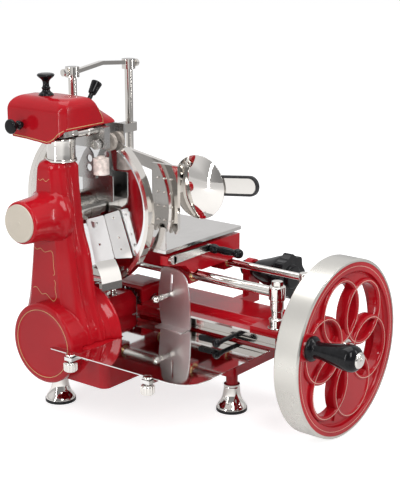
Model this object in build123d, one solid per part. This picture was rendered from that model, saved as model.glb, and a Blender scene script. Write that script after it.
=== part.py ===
"""Hand crank flywheel slicer: every piece of the machine as its own solid.

Machine frame while modelling: the blade's centre is the origin, X runs along the blade's shaft from
the gear column to the product table, the operator turns the flywheel at -Y and Z is up.  The last
lines set the whole machine on the table surface, over the middle of its own outline.
"""
from build123d import *
from math import atan, cos, degrees, pi, radians, sin, sqrt, tan
import os

# ---------------------------------------------------------------- driving dimensions (mm, degrees)
RUN = 0.05                       # radial running clearance of a shaft in its bush
GAP = 0.4                        # clearance between parts that pass each other

BLADE_RADIUS = 132.5
BLADE_THICK = 5.5
BLADE_EDGE = 0.6
BLADE_BEVEL = 16.0
BLADE_SHAFT_RADIUS = 12.0
BLADE_NUT_RADIUS = 30.0
BLADE_NUT_THICK = 8.0
RING_GAP = 2.0
RING_BAND = 7.5
RING_BACK = -17.0
RING_LIP = 7.0
SHARPENING_GAP_START = 58.0      # degrees from +Y, over the top of the blade
SHARPENING_GAP_END = 128.0

MODULE = 3.0
DRIVE_TEETH = 38
IDLER_TEETH = (14, 13, 13)
BLADE_TEETH = 17
GEAR_WIDTH = 10.0
ADDENDUM = 0.78                  # of the module
DEDENDUM = 1.10
BACKLASH_SHARE = 0.07            # of the circular pitch
PRESSURE_ANGLE = 20.0
IDLER_PIN_RADIUS = 6.0
MITRE_TEETH = 18
MITRE_FACE = 9.0

COLUMN_LEFT = -117.0
COLUMN_RIGHT = -62.0
COLUMN_MIDDLE = -104.0           # where the column is widest, and its cover ends
COLUMN_WALL = 6.0
COLUMN_BELOW_RIM = 40.5          # the column's top lies this far below the blade's rim
DECK_Z = -216.5                  # top of the base casting
COLUMN_TOP = BLADE_RADIUS - COLUMN_BELOW_RIM
COLUMN_SECTIONS = (              # level, inset, front and back of the left, middle and right edges
    (COLUMN_TOP, 10.0, (-14.0, 17.0), (-26.0, 25.0), (-28.0, 26.0)),
    (COLUMN_TOP - 5.0, 4.0, (-14.0, 17.0), (-26.0, 25.0), (-28.0, 26.0)),
    (COLUMN_TOP - 15.0, 0.0, (-14.0, 17.0), (-26.0, 25.0), (-28.0, 26.0)),
    (36.0, 0.0, (-17.0, 21.0), (-33.0, 32.0), (-30.0, 30.0)),
    (-24.0, 0.0, (-21.0, 27.0), (-39.0, 38.0), (-37.0, 36.0)),
    (-66.0, 0.0, (-25.0, 32.0), (-46.0, 42.0), (-50.0, 42.0)),
    (-110.0, 0.0, (-27.0, 38.0), (-54.0, 48.0), (-55.0, 48.0)),
    (-170.0, 0.0, (-40.0, 48.0), (-62.0, 64.0), (-66.0, 60.0)),
    (DECK_Z, 0.0, (-62.0, 58.0), (-76.0, 71.0), (-80.0, 68.0)))
CASE_RIGHT = -35.0               # round case over the drive gear, flared towards the blade
CASE_RADIUS = 88.0
HUB_RADIUS = 36.0
HUB_LEFT = -176.0
HUB_DISC_RADIUS = 32.0
HUB_DISC_THICK = 3.0
BEARING_HOUSING_RADIUS = 30.0
BEARING_HOUSING_END = -10.0
BEARING_OUTER = 18.0
BEARING_WIDTH = 11.0

BASE_HEIGHT = 63.5
BASE_WALL = 9.0
BASE_FRONT = -262.0
BASE_BACK = 172.0
BASE_SPLIT_X = 58.0
BLOCK_FRONT = -128.0
BLOCK_BACK = 72.0
BED_LEFT = 76.0
BED_RIGHT = 210.0
BED_FRONT = -345.0
BED_TOP = -194.0
RAIL_THICK = 9.0
RAIL_HEIGHT = 17.0
TUNNEL_HALF = 24.0
TUNNEL_TOP = -176.0

TRAY_THICK = 2.5
TRAY_LEFT = -155.0
TRAY_RIGHT = 65.0
TRAY_FRONT = -338.0
TRAY_REAR = -38.0                # where the strip beside the gear cap ends
TRAY_CORNER = 40.0
CAP_RADIUS = 70.0
CAP_DEPTH = 25.0
CAP_CENTRE_Y = -8.0
CAP_CENTRE_Z = -217.0

LEG_LENGTH = 28.0                # from the bell to the casting
FOOT_RADIUS = 27.5
FOOT_BELL_HEIGHT = 50.0
FOOT_LEG_RADIUS = 10.5
FOOT_PLACES = ((-54.0, 39.0), (99.0, -232.0), (178.0, -58.0), (99.0, 128.0))

WHEEL_X = 120.0
WHEEL_FACE_Y = -454.0
WHEEL_RADIUS = 152.0
WHEEL_WIDTH = 45.0
WHEEL_BAND = 5.0
WHEEL_RED_RIM = 17.0
RIM_STEP = 0.8                   # the red rim lies this far inside the band's edge
WEB_THICK = 15.0
WEB_RECESS = 6.0
LOOP_CENTRE = 0.474              # of the wheel's radius, where the six round loops are centred
LOOP_INNER = 0.322               # of the wheel's radius
LOOP_OUTER = 0.372
LOOP_COUNT = 6
LOOP_START = 47.0
LOOP_HEIGHT = 4.0
OPEN_LOOPS = (0, 1, 3, 5)
CREST_LOOP = 4                   # closed and flat
WHEEL_SHAFT_RADIUS = 10.0
WHEEL_BUSH_OUTER = 13.5
CROSS_SHAFT_RADIUS = 9.0
CROSS_BUSH_OUTER = 12.5
CRANK_ANGLE = 163.0
CRANK_INSET = 30.0               # from the wheel's outside to the pin
CRANK_PAD = (46.0, 44.0)
CRANK_PIN_RADIUS = 6.0
GRIP_LENGTH = 88.0
GRIP_GAP = 2.8                   # from the wheel's face to the grip

ROD_A_X = 98.0
ROD_A_RADIUS = 9.0
ROD_B_X = 200.0
ROD_B_RADIUS = 6.5
ROD_Z = -124.0
ROD_FRONT = -334.0
ROD_BACK = 166.0
POST_FRONT_Y = -326.0
POST_BACK_Y = 156.0

TABLE_LEFT = 8.0
TABLE_RIGHT = 227.0
TABLE_FRONT = -158.0
TABLE_BACK = 95.0
TABLE_TOP = -60.0
TABLE_THICK = 6.0
TABLE_RAIL = 6.0
CARRIAGE_LEFT = 80.0
CARRIAGE_RIGHT = 220.0
CARRIAGE_FRONT = -152.0
CARRIAGE_BACK = 50.0
CARRIAGE_DEPTH = 44.0

FENCE_Y = 75.0
FENCE_POSTS_X = (36.0, 186.0)
FENCE_RADIUS = 7.5
FENCE_TOP = 228.0
GRIPPER_Z = 104.0
JAW_LEFT = 26.0
JAW_RIGHT = 33.0
GUARD_DISC_CENTRE = (44.0, -200.0, 50.0)
GUARD_DISC_RADIUS = 55.0

NECK_X = -82.0
NECK_Y = -8.0
NECK_RADIUS = 25.0
HOOD_LEFT = -113.0
HOOD_RIGHT = 12.0
HOOD_FRONT = -46.0
HOOD_BACK = 86.0
HOOD_ABOVE_STONE = 31.0
HOOD_HEIGHT = 50.0
HOOD_WALL = 4.0
SKIRT_DEPTH = 25.0               # the hood's left wall hangs this far below its edge
STONE_RADIUS = 15.0
STONE_THICK = 7.0
STONE_Y = -50.0
STONE_BITE = 5.264               # how far the stones' axis lies inside the blade's rim
SPINDLE_RADIUS = 4.0

HOOD_KNOB_AT = (-79.0, 26.0)

STAR_X = 256.0
STAR_FRONT_Y = -246.0
STAR_Z = -147.0
STAR_RADIUS = 42.0
STAR_LOBES = 8
STAR_SHAFT_RADIUS = 8.0

DIAL_TAIL_RADIUS = 14.0
SHAFT_BOSS_RADIUS = 16.5
LUG_HALF = 12.5
CONE_TILT = degrees(atan(14.0 / 18.0))
CONE_STEM = 4.0
DEFLECTOR_THICK = 2.2
TRAY_SCREW_RADIUS = 3.5
CLAMP_OUT = 5.0                  # the clamps stand outside the tray's left edge
CLAMP_Y = (-91.0, -258.0)
BRACKET_HALF = 8.0
BRACKET_THICK = 6.0
BRACKET_BAR = 30.0
GUIDE_X = 58.0
GUIDE_THICK = 3.0
GUIDE_TOP = -106.0
GUIDE_FOOT = 20.0
LEVER_PIVOT_X = 22.0
LEVER_HANDLE_X = 122.0
LEVER_Z = -78.0
JAW_FRONT = -170.0
JAW_BACK = -114.0
JAW_LOW = -34.0
JAW_TEETH = 5
INDEX_LEVER_X = 26.0
INDEX_LEVER_AT = (-262.0, -204.0)

# ------------------------------------------------------------------------- places worked out
BLADE_AXIS_HEIGHT = BASE_HEIGHT - DECK_Z + LEG_LENGTH + FOOT_BELL_HEIGHT
RING_INNER = BLADE_RADIUS + RING_GAP
RING_OUTER = RING_INNER + RING_BAND
STONE_Z = sqrt((BLADE_RADIUS - STONE_BITE) ** 2 - STONE_Y ** 2)
HOOD_BOTTOM = STONE_Z + HOOD_ABOVE_STONE
HOOD_TOP = HOOD_BOTTOM + HOOD_HEIGHT
CRANK_RADIUS = WHEEL_RADIUS - CRANK_INSET
PITCH = {name: MODULE * teeth / 2 for name, teeth in
         (("drive", DRIVE_TEETH), ("blade", BLADE_TEETH), ("mitre", MITRE_TEETH))}
IDLER_PITCH = tuple(MODULE * teeth / 2 for teeth in IDLER_TEETH)
BLADE_GEAR_Z = 0.0
IDLER_Z = []
reach = PITCH["blade"]
level = 0.0
for idler_pitch in reversed(IDLER_PITCH):
    level -= reach + idler_pitch
    IDLER_Z.insert(0, level)
    reach = idler_pitch
SHAFT_Z = IDLER_Z[0] - IDLER_PITCH[0] - PITCH["drive"]
GEAR_LEFT = COLUMN_MIDDLE + 2.0
GEAR_RIGHT = GEAR_LEFT + GEAR_WIDTH
BASE_Z = DECK_Z - BASE_HEIGHT
TRAY_TOP = DECK_Z + TRAY_THICK
WHEEL_BACK_Y = WHEEL_FACE_Y + WHEEL_WIDTH
WEB_FACE_Y = WHEEL_FACE_Y + WEB_RECESS
CRANK_X = WHEEL_X + CRANK_RADIUS * cos(radians(CRANK_ANGLE))
CRANK_Z = SHAFT_Z + CRANK_RADIUS * sin(radians(CRANK_ANGLE))
TABLE_BOTTOM = TABLE_TOP - TABLE_THICK
CARRIAGE_TOP = TABLE_BOTTOM - TABLE_RAIL
CARRIAGE_BOTTOM = CARRIAGE_TOP - CARRIAGE_DEPTH
MITRE_PITCH = PITCH["mitre"]
TUNNEL_RIGHT = WHEEL_X - MITRE_PITCH - 8.0 - GAP
PAD_TOP = SHAFT_Z + SHAFT_BOSS_RADIUS

TURN_TO = {"X": Rotation(0, 90, 0), "Y": Rotation(-90, 0, 0), "Z": Rotation(0, 0, 0)}
nodes = {}


# ------------------------------------------------------------------------------ shape helpers
def block(x0, x1, y0, y1, z0, z1):
    """Box between two corners."""
    centre = ((x0 + x1) / 2, (y0 + y1) / 2, (z0 + z1) / 2)
    return Pos(*centre) * Box(abs(x1 - x0), abs(y1 - y0), abs(z1 - z0))


def rod(axis, start, end, at, radius, bore=0.0):
    """Round bar along an axis from start to end; at holds the two other coordinates."""
    length = end - start
    bar = Cylinder(radius, length, align=(Align.CENTER, Align.CENTER, Align.MIN))
    if bore:
        bar -= Cylinder(bore, length, align=(Align.CENTER, Align.CENTER, Align.MIN))
    return place(bar, axis, start, at)


def place(shape, axis, start, at):
    """Turn a shape made along Z to the axis and move it to its place."""
    spot = {"X": (start, *at), "Y": (at[0], start, at[1]), "Z": (*at, start)}[axis]
    return Pos(*spot) * TURN_TO[axis] * shape


def turned(profile, axis, start, at):
    """Solid of revolution; profile lists (radius, distance along the axis)."""
    face = make_face(Plane.XZ * Polyline(*profile, close=True))
    return place(revolve(face, Axis.Z), axis, start, at)


def outline(points, corner=0.0):
    """Closed flat outline, its corners rounded with one radius."""
    face = make_face(Polyline(*points, close=True))
    return fillet(face.vertices(), corner) if corner else face


def slab(plane_name, face, low, high):
    """Extrude a flat outline between two levels along the axis that is normal to its plane."""
    if plane_name == "YZ":
        plane = Plane(origin=(low, 0, 0), x_dir=(0, 1, 0), z_dir=(1, 0, 0))
    elif plane_name == "XZ":
        plane = Plane(origin=(0, high, 0), x_dir=(1, 0, 0), z_dir=(0, -1, 0))
    else:
        plane = Plane(origin=(0, 0, low), x_dir=(1, 0, 0), z_dir=(0, 0, 1))
    return extrude(plane * face, amount=high - low)


def polar(radius, angle):
    """Point on a circle, angle in degrees."""
    return (radius * cos(radians(angle)), radius * sin(radians(angle)))


def ring_of(count, radius, start_angle=0.0):
    """Evenly spaced points on a circle."""
    return [polar(radius, start_angle + 360.0 * index / count) for index in range(count)]


def involute_tooth(teeth, module, tip, root):
    """Half-angles of one involute tooth: (radius, half-angle) from root to tip."""
    pitch_radius = module * teeth / 2
    base = pitch_radius * cos(radians(PRESSURE_ANGLE))
    involute = tan(radians(PRESSURE_ANGLE)) - radians(PRESSURE_ANGLE)
    half_pitch = pi / (2 * teeth) * (1 - 2 * BACKLASH_SHARE) + involute
    flank = []
    steps = 4
    low = max(base, root)
    for step in range(steps + 1):
        radius = low + (tip - low) * step / steps
        roll = sqrt(max((radius / base) ** 2 - 1, 0.0))
        flank.append((radius, half_pitch - (roll - atan(roll))))
    return [(root, flank[0][1])] + flank if root < base - 0.05 else flank


def gear_face(teeth, module, turn=0.0, scale=1.0):
    """Flat outline of a spur gear; turn is in degrees and sets where its first tooth points."""
    pitch_radius = module * teeth / 2
    tip = pitch_radius + ADDENDUM * module
    root = pitch_radius - DEDENDUM * module
    flank = involute_tooth(teeth, module, tip, root)
    points = []
    for tooth in range(teeth):
        middle = radians(turn) + 2 * pi * tooth / teeth
        for radius, half in flank:
            points.append((radius * scale * cos(middle - half), radius * scale * sin(middle - half)))
        for radius, half in reversed(flank):
            points.append((radius * scale * cos(middle + half), radius * scale * sin(middle + half)))
    return make_face(Polyline(*points, close=True))


def spur_gear(teeth, bore, centre_z, first_tooth, hub_radius=0.0):
    """Gear in the column's plane, its axis along X."""
    gear = slab("YZ", Pos(0.0, centre_z) * gear_face(teeth, MODULE, first_tooth), GEAR_LEFT, GEAR_RIGHT)
    if hub_radius:
        gear += rod("X", GEAR_RIGHT, GEAR_RIGHT + 4.0, (0.0, centre_z), hub_radius)
    return gear - rod("X", GEAR_LEFT - 1, GEAR_RIGHT + 5.0, (0.0, centre_z), bore)


def mitre_gear(first_tooth, bore):
    """Straight mitre gear along +Z whose pitch cone's apex is the origin."""
    shrink = (MITRE_PITCH - MITRE_FACE) / MITRE_PITCH
    large = Pos(0, 0, -MITRE_PITCH) * gear_face(MITRE_TEETH, MODULE, first_tooth)
    small = Pos(0, 0, -MITRE_PITCH * shrink) * gear_face(MITRE_TEETH, MODULE, first_tooth, shrink)
    gear = loft([large, small], ruled=True)
    back_hub = Pos(0, 0, -MITRE_PITCH - 4.0) * Cylinder(MITRE_PITCH * 0.62, 8.0)
    return gear + back_hub - Cylinder(bore, 4 * MITRE_PITCH)


def knob_profile(points):
    """Close a knob's outline on its own axis."""
    return [(0.0, points[0][1])] + list(points) + [(0.0, points[-1][1])]


# ---------------------------------------------------------------------------------- the base
def make_base():
    half = [(COLUMN_LEFT, BLOCK_FRONT), (BASE_SPLIT_X, BLOCK_FRONT), (BASE_SPLIT_X, BASE_FRONT),
            (BED_RIGHT - 5, BASE_FRONT), (BED_RIGHT - 5, BASE_BACK), (BASE_SPLIT_X, BASE_BACK),
            (BASE_SPLIT_X, BLOCK_BACK), (COLUMN_LEFT, BLOCK_BACK)]
    plan = outline(half, 14.0)
    casting = slab("XY", plan, BASE_Z, DECK_Z)
    casting -= slab("XY", offset(plan, -BASE_WALL), BASE_Z - 1, DECK_Z - BASE_WALL)
    leg_foot = FOOT_BELL_HEIGHT - BLADE_AXIS_HEIGHT
    for spot in FOOT_PLACES:
        casting += rod("Z", BASE_Z, DECK_Z - 1, spot, FOOT_LEG_RADIUS + 6.0)
        casting += rod("Z", leg_foot, BASE_Z + 1, spot, FOOT_LEG_RADIUS)
    casting -= rod("X", GEAR_LEFT - 4, GEAR_RIGHT + 8, (0, SHAFT_Z), PITCH["drive"] + 4.5)
    room = MITRE_PITCH + 6.0
    casting -= block(BED_LEFT - 6, WHEEL_X + room, -room - 6, room, DECK_Z - BASE_WALL - 1, DECK_Z + 1)
    nodes["base_casting"] = casting

    bell = [(0.0, 0.0), (FOOT_RADIUS - 2, 0.0), (FOOT_RADIUS, 3.0), (FOOT_RADIUS, 7.0),
            (FOOT_RADIUS - 2, 12.0), (20.0, 21.0), (15.5, 32.0), (14.0, 44.0), (14.0, FOOT_BELL_HEIGHT),
            (0.0, FOOT_BELL_HEIGHT)]
    nodes["foot_bells"] = Compound([turned(bell, "Z", -BLADE_AXIS_HEIGHT, spot) for spot in FOOT_PLACES])


def make_bed():
    plan = outline([(BED_LEFT, BED_FRONT), (BED_RIGHT, BED_FRONT), (BED_RIGHT, BASE_BACK),
                    (BED_LEFT, BASE_BACK)], 12.0)
    bed = slab("XY", plan, DECK_Z, BED_TOP)
    boss_back = -MITRE_PITCH - 14.0
    boss = rod("Y", BED_FRONT - 12, boss_back, (WHEEL_X, SHAFT_Z), SHAFT_BOSS_RADIUS)
    boss -= block(BED_LEFT - 40, BED_RIGHT, BED_FRONT - 20, BASE_BACK, DECK_Z - 40, DECK_Z)
    bed += boss
    bed += block(BED_LEFT + 4, BED_RIGHT - 20, BED_FRONT + 5, BED_FRONT + 62, BED_TOP - 2, PAD_TOP)
    arm_front, arm_back = STAR_FRONT_Y + 80, STAR_FRONT_Y + 94
    bed += block(BED_RIGHT - 2, STAR_X + 17, arm_front, arm_back, BED_TOP - 18, BED_TOP)
    bed += block(STAR_X - 17, STAR_X + 17, arm_front, arm_back, BED_TOP - 4, STAR_Z)
    bed += rod("Y", arm_front, arm_back, (STAR_X, STAR_Z), 19.0)
    bed -= rod("Y", arm_front - 1, arm_back + 1, (STAR_X, STAR_Z), DIAL_TAIL_RADIUS)
    bed -= rod("Y", BED_FRONT - 20, 40, (WHEEL_X, SHAFT_Z), WHEEL_BUSH_OUTER)
    room = MITRE_PITCH + 6.0
    bed -= block(BED_LEFT - 1, WHEEL_X + room, -room - 6, room, DECK_Z - 1, BED_TOP + 30)
    nodes["carriage_bed"] = bed

    bushes = [rod("Y", start, start + 24, (WHEEL_X, SHAFT_Z), WHEEL_BUSH_OUTER, WHEEL_SHAFT_RADIUS + RUN)
              for start in (BED_FRONT - 12, boss_back - 24)]
    for start in (CASE_RIGHT, TUNNEL_RIGHT - 18):
        bushes.append(rod("X", start, start + 18, (0, SHAFT_Z), CROSS_BUSH_OUTER, CROSS_SHAFT_RADIUS + RUN))
    nodes["shaft_bushes"] = Compound(bushes)

    cover_left, cover_right = TUNNEL_RIGHT, WHEEL_X + room
    cover = block(cover_left, cover_right, -room - 6, room, BED_TOP, SHAFT_Z + MITRE_PITCH + 9)
    cover = fillet(cover.edges().group_by(Axis.Z)[-1], 7.0)
    cover -= block(cover_left - 1, cover_right - 4, -room - 2, room - 4, BED_TOP - 1,
                   SHAFT_Z + MITRE_PITCH + 5)
    cover -= rod("Y", -room - 12, -room + 2, (WHEEL_X, SHAFT_Z), SHAFT_BOSS_RADIUS + GAP)
    cover -= block(TUNNEL_RIGHT - 1, TUNNEL_RIGHT + 20, -TUNNEL_HALF, TUNNEL_HALF, DECK_Z, TUNNEL_TOP)

    rail_top = BED_TOP + 1.0
    rail = block(BED_LEFT - RAIL_THICK, BED_LEFT, BED_FRONT, -room - 8, rail_top - RAIL_HEIGHT, rail_top)
    rail -= block(BED_LEFT - RAIL_THICK - 1, BED_LEFT - RAIL_THICK + 3, BED_FRONT - 1, 0,
                  rail_top - RAIL_HEIGHT + 5, rail_top - RAIL_HEIGHT + 7)
    nodes["bed_edge_rail"] = rail
    nodes["transmission_covers"] = Compound([cover, tunnel()])


def tunnel():
    left, right = CASE_RIGHT, TUNNEL_RIGHT
    profile = outline([(-TUNNEL_HALF, DECK_Z), (TUNNEL_HALF, DECK_Z), (TUNNEL_HALF, TUNNEL_TOP - 12),
                       (TUNNEL_HALF - 12, TUNNEL_TOP), (-TUNNEL_HALF + 12, TUNNEL_TOP),
                       (-TUNNEL_HALF, TUNNEL_TOP - 12)])
    housing = slab("YZ", profile, left, right)
    housing -= rod("X", left - 1, right + 1, (0, SHAFT_Z), CROSS_BUSH_OUTER)
    return housing


# ------------------------------------------------------------------------------- gear column
def column_section(level, inset, left, middle, right):
    """Outline of the column at one level, smaller by the inset all round."""
    stations = [(COLUMN_LEFT + inset, left), (COLUMN_MIDDLE, middle), (COLUMN_RIGHT - inset, right)]
    front = [(x, pair[0] + inset) for x, pair in stations]
    back = [(x, pair[1] - inset) for x, pair in reversed(stations)]
    return Pos(0, 0, level) * make_face(Polyline(*front, *back, close=True))


def make_column():
    whole = loft([column_section(*row) for row in reversed(COLUMN_SECTIONS)], ruled=True)
    length = CASE_RIGHT - COLUMN_LEFT
    flare = [(0.0, 0.0), (CAP_RADIUS, 0.0), (CAP_RADIUS, 24.0), (CAP_RADIUS + 1, 44.0), (CAP_RADIUS + 4, 58.0),
             (CAP_RADIUS + 9, 68.0), (CASE_RADIUS, length - 5), (CASE_RADIUS, length), (0.0, length)]
    case = turned(flare, "X", COLUMN_LEFT, (CAP_CENTRE_Y, CAP_CENTRE_Z))
    whole += case - block(COLUMN_LEFT - 1, CASE_RIGHT + 1, -200, 200, DECK_Z - 200, DECK_Z)
    cavity_right = COLUMN_RIGHT - COLUMN_WALL - 20
    body = whole - block(COLUMN_LEFT - 1, COLUMN_MIDDLE, -200, 200, DECK_Z - 1, COLUMN_TOP + 1)
    for centre, radius in zip([SHAFT_Z, *IDLER_Z, 0.0], [PITCH["drive"], *IDLER_PITCH, PITCH["blade"]]):
        body -= rod("X", COLUMN_MIDDLE - 1, cavity_right, (0, centre), radius + 4.0)
    body -= rod("X", COLUMN_LEFT, 10, (0, SHAFT_Z), CROSS_SHAFT_RADIUS + 1.0)
    body -= rod("X", COLUMN_LEFT, 10, (0, 0), BEARING_OUTER)
    nodes["gear_column"] = body

    cover = whole - block(COLUMN_MIDDLE, CASE_RIGHT + 1, -200, 200, DECK_Z - 1, COLUMN_TOP + 1)
    nodes["column_cover"] = cover - rod("X", COLUMN_LEFT - 1, COLUMN_MIDDLE + 1, (0, 0),
                                        BLADE_SHAFT_RADIUS + 2.0)

    hub_length = COLUMN_MIDDLE - HUB_LEFT
    hub = turned([(0, 0), (HUB_RADIUS - 3, 0), (HUB_RADIUS, 4), (HUB_RADIUS + 3, 36),
                  (HUB_RADIUS + 7, hub_length), (0, hub_length)], "X", HUB_LEFT, (0, 0))
    hub -= whole
    hub -= rod("X", HUB_LEFT + 6, COLUMN_MIDDLE + 1, (0, 0), BEARING_OUTER)
    nodes["hub_housing"] = hub
    nodes["hub_end_disc"] = turned(knob_profile([(HUB_DISC_RADIUS - 1.5, 0.0), (HUB_DISC_RADIUS, 1.5),
                                                 (HUB_DISC_RADIUS, HUB_DISC_THICK)]),
                                   "X", HUB_LEFT - HUB_DISC_THICK, (0, 0))

    shell = [(0, 0), (58, 0), (66, 3), (CAP_RADIUS, 9), (CAP_RADIUS, CAP_DEPTH),
             (CAP_RADIUS - 4, CAP_DEPTH), (CAP_RADIUS - 4, 10), (57, 4.5), (0, 4.5)]
    nodes["gear_cap"] = turned(shell, "X", COLUMN_LEFT - CAP_DEPTH, (CAP_CENTRE_Y, CAP_CENTRE_Z))


def make_blade_bearing():
    housing = rod("X", COLUMN_RIGHT, BEARING_HOUSING_END, (0, 0), BEARING_HOUSING_RADIUS, BEARING_OUTER)
    seam = (COLUMN_RIGHT + BEARING_HOUSING_END) / 2
    housing -= rod("X", seam, seam + 1.2, (0, 0), BEARING_HOUSING_RADIUS + 1, BEARING_HOUSING_RADIUS - 1)
    nodes["blade_bearing_housing"] = housing
    spots = (HUB_LEFT + 8, COLUMN_RIGHT + 2, BEARING_HOUSING_END - BEARING_WIDTH - 2)
    nodes["blade_bearings"] = Compound([
        rod("X", start, start + BEARING_WIDTH, (0, 0), BEARING_OUTER, BLADE_SHAFT_RADIUS + RUN)
        for start in spots])


# ------------------------------------------------------------------------------- gear train
def make_gear_train():
    first = 90.0
    nodes["drive_gear"] = spur_gear(DRIVE_TEETH, CROSS_SHAFT_RADIUS, SHAFT_Z, first, 16.0)
    for number, (centre, teeth) in enumerate(zip(IDLER_Z, IDLER_TEETH), start=1):
        below = -90.0 + 180.0 / teeth
        if number > 1:
            above_previous = idler_first + 360.0 / IDLER_TEETH[number - 2] * round(
                (90.0 - idler_first) / (360.0 / IDLER_TEETH[number - 2]))
            lead = (above_previous - 90.0) * IDLER_TEETH[number - 2] / teeth
            below = -90.0 + 180.0 / teeth - lead
        idler_first = below
        nodes[f"idler_gear_{number}"] = spur_gear(teeth, IDLER_PIN_RADIUS + RUN, centre, below)
    last = IDLER_TEETH[-1]
    above = idler_first + 360.0 / last * round((90.0 - idler_first) / (360.0 / last))
    blade_first = -90.0 + 180.0 / BLADE_TEETH - (above - 90.0) * last / BLADE_TEETH
    nodes["blade_pinion"] = spur_gear(BLADE_TEETH, BLADE_SHAFT_RADIUS, BLADE_GEAR_Z, blade_first, 17.0)
    pin_right = COLUMN_RIGHT - COLUMN_WALL - 20
    nodes["idler_pins"] = Compound([
        rod("X", COLUMN_MIDDLE, pin_right, (0, centre), IDLER_PIN_RADIUS)
        for centre in IDLER_Z])


def make_cross_shaft():
    mitre_back = WHEEL_X - MITRE_PITCH
    nodes["cross_shaft"] = rod("X", GEAR_LEFT, mitre_back + 6, (0, SHAFT_Z),
                               CROSS_SHAFT_RADIUS)
    gear = mitre_gear(0.0, CROSS_SHAFT_RADIUS)
    nodes["mitre_gear"] = Pos(WHEEL_X, 0, SHAFT_Z) * TURN_TO["X"] * gear


# ---------------------------------------------------------------------------------- flywheel
def make_flywheel():
    hub_at = (WHEEL_X, SHAFT_Z)
    band_inner = WHEEL_RADIUS - WHEEL_BAND
    nodes["flywheel_band"] = turned(
        [(band_inner, 0.0), (WHEEL_RADIUS - 2, 0.0), (WHEEL_RADIUS, 2.0), (WHEEL_RADIUS, WHEEL_WIDTH - 2),
         (WHEEL_RADIUS - 2, WHEEL_WIDTH), (band_inner, WHEEL_WIDTH)], "Y", WHEEL_FACE_Y, hub_at)
    web_radius = band_inner - WHEEL_RED_RIM
    web_back = WEB_RECESS + WEB_THICK
    profile = [(0.0, WEB_RECESS - 2), (24.0, WEB_RECESS - 2), (34.0, WEB_RECESS), (web_radius - 9, WEB_RECESS),
               (web_radius - 7, WEB_RECESS - 3), (web_radius, WEB_RECESS - 3), (web_radius + 2, RIM_STEP),
               (band_inner, RIM_STEP), (band_inner, WHEEL_WIDTH - 1), (web_radius + 4, WHEEL_WIDTH - 1),
               (web_radius, web_back), (32.0, web_back), (28.0, WHEEL_WIDTH), (0.0, WHEEL_WIDTH)]
    web = turned(profile, "Y", WHEEL_FACE_Y, hub_at)
    face_low, face_high = WHEEL_FACE_Y - 5, WHEEL_FACE_Y + web_back + 5
    rib_top = WEB_FACE_Y - LOOP_HEIGHT
    ribs = [loop_face(index, LOOP_OUTER) - loop_face(index, LOOP_INNER) for index in range(LOOP_COUNT)]
    for rib in ribs:
        web += slab("XZ", rib, rib_top, WEB_FACE_Y + 1)
    web += slab("XZ", petal_face(CREST_LOOP, LOOP_OUTER), rib_top + 1, WEB_FACE_Y + 1)
    for index in OPEN_LOOPS:
        web -= slab("XZ", petal_face(index, LOOP_INNER), face_low, face_high)
    for index in range(LOOP_COUNT):
        almond = loop_face(index, LOOP_INNER) & loop_face(index + 1, LOOP_INNER)
        web -= slab("XZ", almond, WEB_FACE_Y - 1, WEB_FACE_Y + 5)
    pad = Rot(0, 0, CRANK_ANGLE) * Pos(CRANK_RADIUS, 0) * Rectangle(*CRANK_PAD)
    pad = Pos(*hub_at) * fillet(pad.vertices(), 5.0)
    web += slab("XZ", pad, WHEEL_FACE_Y + RIM_STEP, WHEEL_FACE_Y + web_back)
    web -= rod("Y", WHEEL_FACE_Y - 5, WHEEL_BACK_Y + 5, hub_at, WHEEL_SHAFT_RADIUS)
    web -= rod("Y", WHEEL_FACE_Y - 5, WHEEL_BACK_Y + 5, (CRANK_X, CRANK_Z), CRANK_PIN_RADIUS)
    nodes["flywheel_web"] = web

    dome = [(14.0, 0.0), (14.0, 6.0), (12.0, 8.0), (11.0, 13.0), (7.0, 17.0)]
    dome = knob_profile([(radius, -along) for radius, along in dome])
    nut = turned(dome, "Y", WHEEL_FACE_Y + WEB_RECESS - 2, hub_at)
    nodes["flywheel_shaft"] = rod("Y", WHEEL_FACE_Y + WEB_RECESS - 2, -MITRE_PITCH + 6, hub_at,
                                  WHEEL_SHAFT_RADIUS)
    collar = rod("Y", WHEEL_BACK_Y, BED_FRONT - 12 - GAP, hub_at, 16.0, WHEEL_SHAFT_RADIUS)
    nodes["flywheel_fittings"] = Compound([nut, collar, crank_pin()])
    gear = mitre_gear(0.0, WHEEL_SHAFT_RADIUS)
    nodes["mitre_pinion"] = Pos(WHEEL_X, 0, SHAFT_Z) * TURN_TO["Y"] * gear


def loop_face(index, share):
    """Disc of one of the wheel's round loops, its radius a share of the wheel's."""
    centre = polar(LOOP_CENTRE * WHEEL_RADIUS, LOOP_START + 360.0 * index / LOOP_COUNT)
    return Pos(WHEEL_X + centre[0], SHAFT_Z + centre[1]) * Circle(share * WHEEL_RADIUS)


def petal_face(index, share):
    """What one loop leaves between its two neighbours, clear of the hub."""
    hub = Pos(WHEEL_X, SHAFT_Z) * Circle(WHEEL_SHAFT_RADIUS + 22.0)
    return (loop_face(index, share) - loop_face(index - 1, LOOP_OUTER) - loop_face(index + 1, LOOP_OUTER)
            - hub)


def crank_pin():
    spot = (CRANK_X, CRANK_Z)
    near = WHEEL_FACE_Y - GRIP_GAP
    far = near - GRIP_LENGTH
    pin = rod("Y", far - 4, WHEEL_FACE_Y + WEB_RECESS + WEB_THICK + 8, spot, CRANK_PIN_RADIUS)
    pin += rod("Y", near + GAP, WHEEL_FACE_Y + RIM_STEP, spot, 17.0)
    pin += turned(knob_profile([(7.0, 0.0), (11.0, 1.2), (12.5, 3.4)]), "Y", far - 4, spot)
    return pin


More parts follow.
